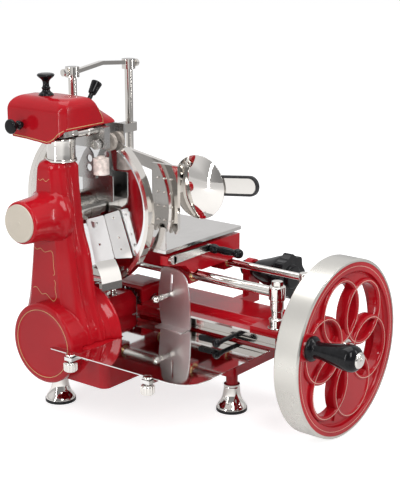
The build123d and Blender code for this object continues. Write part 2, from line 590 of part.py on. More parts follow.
def make_crank():
    spot = (CRANK_X, CRANK_Z)
    near = WHEEL_FACE_Y - GRIP_GAP
    far = near - GRIP_LENGTH
    grip = [(0.0, 0.0), (19.5, 0.0), (20.5, 2.0), (20.5, 5.0), (18.5, 8.0), (14.5, 11.0), (13.8, 14.0),
            (14.5, 22.0), (17.0, 40.0), (20.0, 58.0), (21.5, 70.0), (21.0, 78.0), (18.0, 84.0),
            (13.0, GRIP_LENGTH), (0.0, GRIP_LENGTH)]
    grip = [(radius, GRIP_LENGTH - along) for radius, along in grip]
    handle = turned(grip, "Y", far, spot)
    nodes["crank_grip"] = handle - rod("Y", far - 5, near + 5, spot, CRANK_PIN_RADIUS + RUN)


# ------------------------------------------------------------------------------------- blade
def make_blade():
    edge = BLADE_RADIUS - BLADE_BEVEL
    thin = BLADE_THICK - 1.5
    profile = [(BLADE_SHAFT_RADIUS, 0.0), (edge, 0.0), (BLADE_RADIUS, thin - BLADE_EDGE),
               (BLADE_RADIUS, thin), (edge - 22, thin), (edge - 26, BLADE_THICK),
               (BLADE_SHAFT_RADIUS, BLADE_THICK)]
    nodes["blade"] = turned(profile, "X", 0.0, (0, 0))
    shaft = rod("X", HUB_LEFT + 8, BLADE_THICK + BLADE_NUT_THICK - 1, (0, 0), BLADE_SHAFT_RADIUS)
    nodes["blade_shaft"] = shaft
    flange = rod("X", BEARING_HOUSING_END + 1, 0.0, (0, 0), 26.0, BLADE_SHAFT_RADIUS)
    nut = rod("X", BLADE_THICK, BLADE_THICK + BLADE_NUT_THICK, (0, 0), BLADE_NUT_RADIUS,
              BLADE_SHAFT_RADIUS)
    spots = ring_of(4, 21.0, 45.0)
    screws = []
    for spot in spots:
        nut -= rod("X", BLADE_THICK - 1, BLADE_THICK + 20, spot, 3.0)
        screws.append(rod("X", BLADE_THICK, BLADE_THICK + BLADE_NUT_THICK, spot, 3.0)
                      + rod("X", BLADE_THICK + BLADE_NUT_THICK, BLADE_THICK + BLADE_NUT_THICK + 2.5, spot, 5.0))
    nodes["blade_clamp_plates"] = Compound([flange, nut, *screws])


def make_guard_ring():
    ring = rod("X", RING_BACK, -1.0, (0, 0), RING_OUTER, RING_INNER)
    lip = rod("X", -1.0, RING_LIP, (0, 0), RING_OUTER, RING_INNER)
    lip -= block(-2.0, RING_LIP + 1, -RING_OUTER - 1, 40, -RING_OUTER - 1, RING_OUTER + 1)
    ring += lip
    wedge = [(0.0, 0.0), *[polar(2 * RING_OUTER, angle) for angle in
                           (SHARPENING_GAP_START, 93.0, SHARPENING_GAP_END)]]
    ring -= slab("YZ", make_face(Polyline(*wedge, close=True)), RING_BACK - 1, RING_LIP + 1)
    for side in (-1, 1):
        seat = CASE_RIGHT if side < 0 else COLUMN_RIGHT
        arm = block(seat, RING_BACK + 6, side * 34, side * 44, 3 - RING_OUTER, 13 - RING_OUTER)
        ring += arm - rod("X", COLUMN_RIGHT - 1, 20, (0, 0), RING_INNER)
    nodes["blade_guard_ring"] = ring - nodes["gear_column"]


def make_deflector():
    rim = polar(BLADE_RADIUS - 9.1, 221.05)
    upper = [Vector(-50.0, -30.5, -13.5), Vector(-30.0, -53.6, -5.8), Vector(-2.0, -63.2, -1.0)]
    lower = [Vector(-50.0, -49.0, -86.0), Vector(-30.0, -77.0, -79.0), Vector(-2.0, *rim)]
    fall = Vector(8.0, -8.0, -52.0)
    sheets = [(upper[0], lower[0], lower[1]), (upper[0], lower[1], upper[1]), (upper[1], lower[1], lower[2]),
              (upper[1], lower[2], upper[2]), (lower[0], lower[0] + fall, lower[1] + fall, lower[1])]
    plates = [extrude(make_face(Polyline(*sheet, close=True)), amount=DEFLECTOR_THICK / 2, both=True)
              for sheet in sheets]
    stay = block(-46.0, -38.0, -46.0, -24.0, -26.0, -16.0)
    stay -= rod("X", COLUMN_RIGHT, BEARING_HOUSING_END, (0, 0), BEARING_HOUSING_RADIUS)
    nodes["slice_deflector"] = plates[0] + plates[1] + plates[2] + plates[3] + plates[4] + stay


# --------------------------------------------------------------------------------- tray, guides
def make_tray():
    notch_x, notch_y = CASE_RIGHT + 2.0, CAP_CENTRE_Y - CASE_RADIUS - 2.0
    cap_side = COLUMN_LEFT - CAP_DEPTH - 2.0
    tray_back = -TUNNEL_HALF - 3.0
    points = [(TRAY_LEFT, TRAY_REAR), (TRAY_LEFT, TRAY_FRONT), (TRAY_RIGHT, TRAY_FRONT), (TRAY_RIGHT, tray_back),
              (notch_x, tray_back), (notch_x, notch_y), (cap_side, notch_y), (cap_side, TRAY_REAR)]
    face = make_face(Polyline(*points, close=True))
    corner = face.vertices().sort_by(Axis.X)[:2].sort_by(Axis.Y)[0]
    face = fillet(corner, TRAY_CORNER)
    tray = slab("XY", face, DECK_Z, TRAY_TOP)
    clamp_x = TRAY_LEFT - CLAMP_OUT
    clamp_spots = [(clamp_x, y) for y in CLAMP_Y]
    low = DECK_Z - BRACKET_THICK
    rear, front = CLAMP_Y
    bracket = block(clamp_x - 6, cap_side, rear - BRACKET_HALF, rear + BRACKET_HALF, low, DECK_Z)
    bracket += block(cap_side - 1, COLUMN_LEFT, BLOCK_FRONT + 14, rear, low, DECK_Z)
    bracket_front = block(clamp_x - 6, COLUMN_LEFT + BRACKET_BAR, front - BRACKET_HALF, front + BRACKET_HALF,
                          low, DECK_Z)
    bracket_front += block(COLUMN_LEFT + 14, COLUMN_LEFT + BRACKET_BAR, front - BRACKET_HALF, BLOCK_FRONT,
                           low, DECK_Z)
    for x, y in clamp_spots:
        hole = rod("Z", DECK_Z - 8, DECK_Z + 1, (x, y), TRAY_SCREW_RADIUS + RUN)
        bracket -= hole
        bracket_front -= hole
    nodes["drip_tray"] = Compound([tray, bracket, bracket_front])
    thumb = [(0.0, 0.0), (10.0, 0.0), (11.5, 2.0), (11.5, 13.0), (9.5, 16.0), (TRAY_SCREW_RADIUS, 16.0),
             (TRAY_SCREW_RADIUS, 27.6), (7.5, 27.6), (7.5, 30.5), (0.0, 30.5)]
    for name, spot in zip(("tray_thumbscrew_rear", "tray_thumbscrew_front"), clamp_spots):
        screw = turned(thumb, "Z", DECK_Z - 24.7, spot)
        for notch in ring_of(10, 12.9):
            screw -= rod("Z", DECK_Z - 26, DECK_Z - 7.9, (spot[0] + notch[0], spot[1] + notch[1]), 2.2)
        nodes[name] = screw


def make_guide_plate():
    side = [(-172.0, TRAY_TOP), (-102.0, TRAY_TOP), (-102.0, -174.0), (-108.0, -116.0), (-120.0, GUIDE_TOP),
            (-146.0, GUIDE_TOP), (-158.0, -122.0), (-164.0, -162.0)]
    face = outline(side)
    top = face.vertices().sort_by(Axis.Y)[-2:]
    face = fillet(top, 8.0)
    plate = slab("YZ", face, GUIDE_X, GUIDE_X + GUIDE_THICK)
    foot = block(GUIDE_X - GUIDE_FOOT, GUIDE_X + GUIDE_THICK, -168, -106, TRAY_TOP, TRAY_TOP + 2.0)
    plate += foot
    slot = block(GUIDE_X - 1, GUIDE_X + GUIDE_THICK + 1, -132, -128, -150, GUIDE_TOP - 10)
    pin_spot = (-120.0, -158.0)
    plate -= slot
    plate -= rod("X", GUIDE_X - 1, GUIDE_X + GUIDE_THICK + 1, pin_spot, 4.0)
    pin = rod("X", GUIDE_X - 32, GUIDE_X + GUIDE_THICK + 11, pin_spot, 4.0)
    for x in (GUIDE_X - 32, GUIDE_X + GUIDE_THICK + 11):
        pin += Pos(x, *pin_spot) * Sphere(6.5)
    stud = turned(knob_profile([(5.0, 0.0), (5.0, 9.0), (11.0, 9.0), (11.0, 14.0), (7.0, 14.0), (7.0, 26.0),
                                (5.0, 28.0)]), "Z", TUNNEL_TOP, (44.0, -2.0))
    nodes["guide_plate"] = Compound([plate, pin, stud])


# ------------------------------------------------------------------------ slide rods and posts
def make_rods():
    nodes["slide_rods"] = Compound([
        rod("Y", ROD_FRONT, ROD_BACK, (ROD_A_X, ROD_Z), ROD_A_RADIUS),
        rod("Y", ROD_FRONT + 8, ROD_BACK, (ROD_B_X, ROD_Z), ROD_B_RADIUS)])
    posts = []
    for y, seat in ((POST_FRONT_Y, PAD_TOP), (POST_BACK_Y, BED_TOP)):
        height = ROD_Z - seat
        profile = [(13.5, 0.0), (13.5, 16.0), (10.0, 19.0), (10.0, 30.0), (12.0, 32.0), (12.0, height - 12),
                   (14.0, height - 11), (14.0, height + 11), (12.0, height + 13)]
        post = turned(knob_profile(profile), "Z", seat, (ROD_A_X, y))
        posts.append(post - rod("Y", y - 30, y + 30, (ROD_A_X, ROD_Z), ROD_A_RADIUS))
    height = ROD_Z - BED_TOP
    slim = [(10.0, 0.0), (10.0, 5.0), (7.5, 7.0), (7.5, height - 10), (10.0, height - 9), (10.0, height + 9)]
    for y in (POST_FRONT_Y + 12, POST_BACK_Y):
        post = turned(knob_profile(slim), "Z", BED_TOP, (ROD_B_X, y))
        posts.append(post - rod("Y", y - 30, y + 30, (ROD_B_X, ROD_Z), ROD_B_RADIUS))
    nut = extrude(RegularPolygon(10.0, 6), amount=8.0)
    nuts = [Pos(ROD_A_X, y, ROD_Z + 13) * nut for y in (POST_FRONT_Y, POST_BACK_Y)]
    nodes["rod_posts"] = Compound(posts + nuts)


# ------------------------------------------------------------------------- carriage and table
def make_carriage():
    body = block(CARRIAGE_LEFT, CARRIAGE_RIGHT, CARRIAGE_FRONT, CARRIAGE_BACK, CARRIAGE_BOTTOM, CARRIAGE_TOP)
    body = fillet(body.edges().filter_by(Axis.Z), 5.0)
    body -= block(CARRIAGE_LEFT + 14, CARRIAGE_RIGHT - 14, CARRIAGE_FRONT + 30, CARRIAGE_BACK - 30,
                  CARRIAGE_BOTTOM - 1, CARRIAGE_TOP + 1)
    front = [(LEVER_PIVOT_X - 9, CARRIAGE_TOP), (LEVER_PIVOT_X - 9, LEVER_Z - 10), (62.0, GUIDE_TOP + 8),
             (CARRIAGE_LEFT, CARRIAGE_BOTTOM), (CARRIAGE_RIGHT, CARRIAGE_BOTTOM),
             (CARRIAGE_RIGHT, CARRIAGE_TOP)]
    body += slab("XZ", outline(front), CARRIAGE_FRONT - 6, CARRIAGE_FRONT + 10)
    for x, radius in ((ROD_A_X, ROD_A_RADIUS), (ROD_B_X, ROD_B_RADIUS)):
        for y in (CARRIAGE_FRONT + 4, CARRIAGE_BACK - 34):
            body += block(x - LUG_HALF, x + LUG_HALF, y, y + 30, ROD_Z - radius - 6, CARRIAGE_BOTTOM + 4)
        body -= rod("Y", CARRIAGE_FRONT - 20, CARRIAGE_BACK + 20, (x, ROD_Z), radius + 3.0)
    body -= rod("Y", CARRIAGE_FRONT - 7, CARRIAGE_FRONT + 11, (LEVER_PIVOT_X, LEVER_Z), 4.0 + RUN)
    nodes["carriage"] = body
    bushes = []
    for x, radius in ((ROD_A_X, ROD_A_RADIUS), (ROD_B_X, ROD_B_RADIUS)):
        for y in (CARRIAGE_FRONT + 4, CARRIAGE_BACK - 34):
            bushes.append(rod("Y", y, y + 30, (x, ROD_Z), radius + 3.0, radius + RUN))
    nodes["carriage_bushes"] = Compound(bushes)


def make_table():
    plan = outline([(TABLE_LEFT, TABLE_FRONT), (TABLE_RIGHT, TABLE_FRONT), (TABLE_RIGHT, TABLE_BACK),
                    (TABLE_LEFT, TABLE_BACK)], 5.0)
    table = slab("XY", plan, TABLE_BOTTOM, TABLE_TOP)
    for y in (-112.0, 34.0):
        table += block(CARRIAGE_LEFT + 2, CARRIAGE_RIGHT - 4, y - 6, y + 6, CARRIAGE_TOP, TABLE_BOTTOM)
    for x in FENCE_POSTS_X:
        table -= rod("Z", TABLE_BOTTOM - 1, TABLE_TOP + 1, (x, FENCE_Y), FENCE_RADIUS - 2)
    end_plate = outline([(TABLE_FRONT, TABLE_BOTTOM), (-104.0, TABLE_BOTTOM), (-104.0, -34.0), (-112.0, -26.0),
                         (-124.0, -40.0), (-136.0, -40.0), (-146.0, -20.0), (TABLE_FRONT, -20.0)])
    end_piece = slab("YZ", end_plate, TABLE_LEFT, TABLE_LEFT + 2.5)
    end_piece -= block(TABLE_LEFT - 1, TABLE_LEFT + 4, TABLE_FRONT - 1, 0, TABLE_BOTTOM - 1, TABLE_TOP)
    nodes["product_table"] = Compound([table, end_piece])

    pivot = (LEVER_PIVOT_X, LEVER_Z)
    arm_y = TABLE_FRONT - 7.0
    bar = outline([(LEVER_PIVOT_X, LEVER_Z - 8), (LEVER_HANDLE_X, LEVER_Z - 6),
                   (LEVER_HANDLE_X, LEVER_Z + 6), (LEVER_PIVOT_X, LEVER_Z + 8)])
    arm = slab("XZ", bar, arm_y, arm_y + 6)
    arm += rod("Y", arm_y, arm_y + 6, pivot, 8.0)
    arm += rod("Y", arm_y, arm_y + 6, (LEVER_HANDLE_X, LEVER_Z), 7.5)
    arm += rod("Y", arm_y + 6, CARRIAGE_FRONT + 2, pivot, 4.0)
    nodes["table_lever"] = arm
    handle = [(4.5, 0.0), (4.5, 4.0), (8.5, 8.0), (8.5, 14.0), (6.0, 20.0), (6.5, 34.0), (6.0, 50.0),
              (8.5, 58.0), (8.5, 64.0), (5.0, 70.0)]
    handle = [(radius, -along) for radius, along in handle]
    nodes["table_lever_handle"] = turned(knob_profile(handle), "Y", arm_y, (LEVER_HANDLE_X, LEVER_Z))


def make_fence():
    left, right = FENCE_POSTS_X
    posts = []
    for x in FENCE_POSTS_X:
        post = rod("Z", TABLE_TOP, FENCE_TOP, (x, FENCE_Y), FENCE_RADIUS)
        post += rod("Z", TABLE_TOP, TABLE_TOP + 10, (x, FENCE_Y), 15.0)
        post += rod("Z", TABLE_BOTTOM, TABLE_TOP, (x, FENCE_Y), FENCE_RADIUS - 2)
        posts.append(post)
    nodes["fence_posts"] = Compound(posts)
    middle = (left + right) / 2
    bar = slab("XZ", outline([(left, FENCE_TOP - 12), (middle, FENCE_TOP - 2), (right, FENCE_TOP - 8),
                              (right, FENCE_TOP - 1), (middle, FENCE_TOP + 5), (left, FENCE_TOP - 5)]),
               FENCE_Y - 5, FENCE_Y + 5)
    for x in FENCE_POSTS_X:
        bar += rod("Z", FENCE_TOP - 16, FENCE_TOP + 2, (x, FENCE_Y), 12.5)
        bar -= rod("Z", FENCE_TOP - 17, FENCE_TOP, (x, FENCE_Y), FENCE_RADIUS)
    knob = [(4.0, 0.0), (4.0, 3.0), (7.0, 4.0), (7.0, 11.0), (5.0, 12.5)]
    knob_z = FENCE_TOP - 7
    bar += turned(knob_profile([(radius, -along) for radius, along in knob]), "X", left - 12, (FENCE_Y, knob_z))
    bar += turned(knob_profile(knob), "X", right + 12, (FENCE_Y, knob_z))
    nodes["fence_crossbar"] = bar


def make_gripper():
    left, right = FENCE_POSTS_X
    head = block(left - 13, right + 13, FENCE_Y - 12, FENCE_Y + 12, GRIPPER_Z - 8, GRIPPER_Z + 8)
    head = fillet(head.edges().filter_by(Axis.Z), 8.0)
    for x in FENCE_POSTS_X:
        head -= rod("Z", GRIPPER_Z - 9, GRIPPER_Z + 9, (x, FENCE_Y), FENCE_RADIUS + RUN)
    jaw_y = JAW_BACK
    arm_left = GUARD_DISC_CENTRE[0] + 8
    arm = slab("YZ", outline([(FENCE_Y - 12, GRIPPER_Z + 8), (FENCE_Y - 12, GRIPPER_Z - 8), (jaw_y, 60.0),
                              (JAW_FRONT, 44.0), (JAW_FRONT, 64.0), (jaw_y, 82.0)]), arm_left, arm_left + 9)
    arm += block(JAW_RIGHT, arm_left + 9, JAW_FRONT + 32, jaw_y - 4, 60, 72)
    nodes["gripper_arm"] = Compound([head, arm])
    teeth = []
    pitch = (jaw_y - JAW_FRONT) / JAW_TEETH
    for index in range(JAW_TEETH):
        start = JAW_FRONT + index * pitch
        teeth += [(start, JAW_LOW + 9), (start + pitch / 2, JAW_LOW)]
    jaw_points = teeth + [(jaw_y, JAW_LOW + 9), (jaw_y, 84.0), (JAW_FRONT, 84.0)]
    jaw = slab("YZ", make_face(Polyline(*jaw_points, close=True)), JAW_LEFT, JAW_RIGHT)
    spike = [(1.8, 0.0), (1.8, 1.5), (0.3, 5.0)]
    spikes = []
    for row in range(4):
        for y in (JAW_FRONT + 14, (JAW_FRONT + jaw_y) / 2, jaw_y - 14):
            points = knob_profile([(radius, -along) for radius, along in spike])
            spikes.append(turned(points, "X", JAW_LEFT, (y, JAW_LOW + 22 + 24 * row)))
    nodes["gripper_jaw"] = Compound([jaw, *spikes])

    cx, cy, cz = GUARD_DISC_CENTRE
    bulge = 12.0
    sphere_radius = (GUARD_DISC_RADIUS ** 2 + bulge ** 2) / (2 * bulge)
    outer = Pos(cx - bulge + sphere_radius, cy, cz) * Sphere(sphere_radius)
    inner = Pos(cx - bulge + sphere_radius, cy, cz) * Sphere(sphere_radius - 2.5)
    disc = (outer - inner) & rod("X", cx - bulge - 2, cx, (cy, cz), GUARD_DISC_RADIUS - 1)
    disc += rod("X", cx - bulge + 1.5, arm_left, (cy + 30, cz + 5), 5.0)
    disc &= rod("X", cx - bulge - 2, arm_left, (cy, cz), GUARD_DISC_RADIUS - 1)
    disc += rod("X", cx - bulge + 1.5, cx + 2.5, (cy - 4, cz + 4), 8.0)
    handle_length = 139.0
    blade_half = 17.0
    start_y = cy + 18
    paddle_at = Pos(start_y - handle_length / 2, cz + 9) * Rot(0, 0, -6.5)
    rim = slab("YZ", paddle_at * SlotOverall(handle_length, 2 * blade_half), cx + 1, cx + 8 - GAP)
    inside = paddle_at * SlotOverall(handle_length - 8, 2 * blade_half - 8)
    rim -= slab("YZ", inside, cx, cx + 9)
    nodes["paddle_rim"] = rim
    paddle_plate = slab("YZ", inside, cx + 2.5, cx + 6.5)
    nodes["hand_guard"] = Compound([disc, paddle_plate])


# ---------------------------------------------------------------------------------- sharpener
def make_sharpener():
    neck = turned([(12.0, 0.0), (NECK_RADIUS - 2, 0.0), (NECK_RADIUS - 2, 8.0), (NECK_RADIUS, 10.0),
                   (NECK_RADIUS, 36.0), (NECK_RADIUS - 3, 40.0), (12.0, 40.0)], "Z", COLUMN_TOP,
                  (NECK_X, NECK_Y))
    nodes["sharpener_neck"] = neck
    head = rod("Z", COLUMN_TOP + 4, HOOD_BOTTOM + 10, (NECK_X, NECK_Y), 12.0 - RUN)
    head += block(NECK_X - 16, -14, -30, 18, HOOD_BOTTOM - 14, HOOD_BOTTOM - 2)
    head += block(-34, -20, STONE_Y - 12, 18, STONE_Z - 8, HOOD_BOTTOM - 2)
    right_arm = BLADE_THICK + 1.5 + STONE_THICK + GAP
    head += block(-34, right_arm + 4, STONE_Y + 17, STONE_Y + 27, HOOD_BOTTOM - 12, HOOD_BOTTOM - 2)
    head += block(right_arm, right_arm + 4, STONE_Y - 12, STONE_Y + 27, STONE_Z - 8, HOOD_BOTTOM - 2)
    head -= rod("X", -40, 40, (STONE_Y, STONE_Z), SPINDLE_RADIUS + RUN)
    profile = [(HOOD_LEFT, HOOD_BOTTOM), (HOOD_RIGHT, HOOD_BOTTOM), (HOOD_RIGHT, HOOD_BOTTOM + 10),
               (HOOD_RIGHT - 30, HOOD_TOP - 14), (HOOD_RIGHT - 48, HOOD_TOP), (HOOD_LEFT + 12, HOOD_TOP),
               (HOOD_LEFT, HOOD_TOP - 12)]
    hood = slab("XZ", outline(profile), HOOD_FRONT, HOOD_BACK)
    plan = outline([(HOOD_LEFT, HOOD_FRONT + 15), (HOOD_LEFT + 6, HOOD_FRONT), (HOOD_RIGHT, HOOD_FRONT),
                    (HOOD_RIGHT, 30.0), (-28.0, 52.0), (-34.0, HOOD_BACK), (HOOD_LEFT, HOOD_BACK)])
    shell = hood & slab("XY", plan, HOOD_BOTTOM - 1, HOOD_TOP + 1)
    room = Pos(0, 0, -HOOD_WALL) * (slab("XZ", outline(profile), HOOD_FRONT + HOOD_WALL, HOOD_BACK - HOOD_WALL)
                                    & slab("XY", offset(plan, -HOOD_WALL), HOOD_BOTTOM - 1, HOOD_TOP + 1))
    skirt = outline([(HOOD_FRONT + 15, HOOD_BOTTOM + 1), (HOOD_FRONT + 17, HOOD_BOTTOM - 12),
                     (HOOD_FRONT + 37, HOOD_BOTTOM - SKIRT_DEPTH),
                     (HOOD_BACK - 14, HOOD_BOTTOM + 5 - SKIRT_DEPTH), (HOOD_BACK - 6, HOOD_BOTTOM - 11),
                     (HOOD_BACK - 3, HOOD_BOTTOM + 1)])
    skirt = slab("YZ", skirt, HOOD_LEFT, HOOD_LEFT + HOOD_WALL)
    shell = shell - room - block(HOOD_LEFT + HOOD_WALL, HOOD_RIGHT - HOOD_WALL, HOOD_FRONT + 30, 26,
                                 HOOD_BOTTOM - 5, HOOD_BOTTOM + 3)
    shell += skirt
    slope = Vector(HOOD_RIGHT - 36, -20.0, HOOD_TOP - 14 + 6 * tan(radians(CONE_TILT)))
    cone_seat = Pos(slope) * Rotation(0, CONE_TILT, 0)
    shell -= cone_seat * Cylinder(CONE_STEM + GAP, 24.0)
    nodes["sharpener_hood"] = shell
    head += rod("Z", HOOD_BOTTOM, HOOD_TOP - HOOD_WALL, (NECK_X, NECK_Y), 10.0)
    nodes["sharpener_head"] = head

    waist = [(5.0, 0.0), (5.0, 3.0), (11.0, 5.0), (12.0, 8.0), (7.0, 13.0), (6.0, 20.0), (8.0, 26.0),
             (14.0, 31.0), (14.5, 34.0), (9.0, 37.0)]
    nodes["hood_knob"] = turned(knob_profile(waist), "Z", HOOD_TOP, HOOD_KNOB_AT)
    side = [(5.0, 0.0), (5.0, 4.0), (8.0, 5.5), (8.0, 8.5), (5.5, 12.0), (5.5, 16.0), (9.0, 20.0),
            (12.5, 23.0), (12.5, 26.0), (9.0, 29.0)]
    side = [(radius, -along) for radius, along in side]
    nodes["side_knob"] = turned(knob_profile(side), "X", HOOD_LEFT, (HOOD_BACK - 34, HOOD_BOTTOM + 2))
    cone = [(CONE_STEM, -9.0), (CONE_STEM, 6.0), (7.0, 8.0), (9.0, 30.0), (6.5, 34.0)]
    cone_knob = turned(knob_profile(cone), "Z", 0.0, (0.0, 0.0))
    nodes["cone_knob"] = cone_seat * cone_knob

    left_start = -1 - GAP - STONE_THICK - 3
    right_start = BLADE_THICK + 1.5
    spot = (STONE_Y, STONE_Z)
    stone = rod("X", left_start, left_start + STONE_THICK, spot, STONE_RADIUS, SPINDLE_RADIUS)
    spindle = rod("X", -42, left_start + STONE_THICK, spot, SPINDLE_RADIUS) + rod("X", -42, -38, spot, 7.5)
    nodes["grinding_stone"] = Compound([stone, spindle])
    stone = rod("X", right_start, right_start + STONE_THICK, spot, STONE_RADIUS, SPINDLE_RADIUS)
    far = right_arm + 4 + 2 + GAP / 2
    spindle = rod("X", right_start, far, spot, SPINDLE_RADIUS) + rod("X", far - 2, far, spot, 7.0)
    nodes["deburring_stone"] = Compound([stone, spindle])


# ------------------------------------------------------------------------ thickness controls
def make_controls():
    bore = STAR_SHAFT_RADIUS + RUN
    bell = [(bore, 0.0), (34.0, 0.0), (36.0, 4.0), (33.0, 14.0), (26.0, 34.0), (20.0, 54.0),
            (DIAL_TAIL_RADIUS, 64.0), (DIAL_TAIL_RADIUS, 88.0), (0.0, 88.0), (0.0, 60.0), (bore, 60.0)]
    spot = (STAR_X, STAR_Z)
    housing = turned(bell, "Y", STAR_FRONT_Y + 14, spot)
    nodes["dial_housing"] = housing
    disc = rod("Y", STAR_FRONT_Y - 4, STAR_FRONT_Y + 14 - GAP, spot, STAR_RADIUS - 5)
    for lobe in ring_of(STAR_LOBES, STAR_RADIUS - 7):
        disc += rod("Y", STAR_FRONT_Y - 4, STAR_FRONT_Y + 14 - GAP, (STAR_X + lobe[0], STAR_Z + lobe[1]), 8.0)
    disc += rod("Y", STAR_FRONT_Y - 9, STAR_FRONT_Y - 4, spot, 22.0)
    disc += rod("Y", STAR_FRONT_Y + 14 - GAP, STAR_FRONT_Y + 70, spot, STAR_SHAFT_RADIUS)
    nodes["star_knob"] = disc

    lever_y, lever_z = INDEX_LEVER_AT
    post = rod("X", INDEX_LEVER_X, BED_LEFT - RAIL_THICK, (lever_y, lever_z), 4.0)
    post += block(INDEX_LEVER_X - 7, INDEX_LEVER_X, lever_y - 5, lever_y + 42, lever_z - 4, lever_z + 4)
    ball = [polar(7.5, angle) for angle in (22.5, 45.0, 67.5, 90.0, 112.5, 135.0, 157.5)]
    ball = [(0.0, 7.5)] + [(across, along) for along, across in ball] + [(0.0, -7.5)]
    nodes["index_lever"] = post + turned(ball, "X", INDEX_LEVER_X - 12, (lever_y, lever_z))


def finish_and_write():
    """Stand the machine on the table, centred over its outline, and write one file per node."""
    boxes = [shape.bounding_box() for shape in nodes.values()]
    middle_x = (min(box.min.X for box in boxes) + max(box.max.X for box in boxes)) / 2
    middle_y = (min(box.min.Y for box in boxes) + max(box.max.Y for box in boxes)) / 2
    stand = Pos(-middle_x, -middle_y, BLADE_AXIS_HEIGHT)
    os.makedirs("parts", exist_ok=True)
    print(f"frame origin in the machine frame: {middle_x:.3f} {middle_y:.3f} {-BLADE_AXIS_HEIGHT:.3f}")
    for name, shape in nodes.items():
        export_step(stand * shape, f"parts/{name}.step")


make_base()
make_bed()
make_column()
make_blade_bearing()
make_gear_train()
make_cross_shaft()
make_flywheel()
make_crank()
make_blade()
make_guard_ring()
make_deflector()
make_tray()
make_guide_plate()
make_rods()
make_carriage()
make_table()
make_fence()
make_gripper()
make_sharpener()
make_controls()
finish_and_write()
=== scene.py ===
"""Studio scene of a hand crank flywheel slicer.

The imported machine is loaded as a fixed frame.  Each sub-assembly is a class that builds its own
pieces over that frame and dresses them: gloss enamel on the castings, nickel plate on the
fittings, turned steel on the blade, moulded black on the knobs.  Sizes are in millimetres from
the blade's centre, as a maker would measure them, and `place` turns them into the frame's metres.
"""

import logging
import math
from dataclasses import dataclass
from enum import Enum
from typing import Callable, Optional, Sequence

import bmesh
import bpy
from mathutils import Matrix, Vector


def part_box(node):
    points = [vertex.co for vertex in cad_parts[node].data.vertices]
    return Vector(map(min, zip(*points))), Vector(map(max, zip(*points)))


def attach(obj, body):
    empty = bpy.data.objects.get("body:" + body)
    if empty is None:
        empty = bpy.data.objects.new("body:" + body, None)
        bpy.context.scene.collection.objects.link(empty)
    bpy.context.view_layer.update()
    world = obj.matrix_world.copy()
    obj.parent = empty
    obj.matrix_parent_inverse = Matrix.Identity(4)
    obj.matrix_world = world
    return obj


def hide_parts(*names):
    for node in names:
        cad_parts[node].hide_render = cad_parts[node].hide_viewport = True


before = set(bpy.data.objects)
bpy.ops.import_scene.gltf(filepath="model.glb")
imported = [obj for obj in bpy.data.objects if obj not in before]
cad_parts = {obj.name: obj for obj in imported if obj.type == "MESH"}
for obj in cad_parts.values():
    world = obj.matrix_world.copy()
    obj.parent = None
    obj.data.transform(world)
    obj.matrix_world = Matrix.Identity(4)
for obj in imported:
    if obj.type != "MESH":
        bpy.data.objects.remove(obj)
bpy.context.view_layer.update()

log = logging.getLogger("slicer")

MM = 0.001
BLADE_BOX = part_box("blade")
BLADE_CENTRE = Vector((BLADE_BOX[0].x, (BLADE_BOX[0].y + BLADE_BOX[1].y) / 2,
                       (BLADE_BOX[0].z + BLADE_BOX[1].z) / 2))
TO_FRAME = Matrix.Translation(BLADE_CENTRE) @ Matrix.Scale(MM, 4)


def place(x: float, y: float, z: float) -> Vector:
    """Turn machine millimetres into frame metres.

    Args:
        x: Distance along the blade's shaft.
        y: Distance towards the back.
        z: Height above the blade's centre.

    Returns:
        The same point in the frame.
    """
    return TO_FRAME @ Vector((x, y, z))


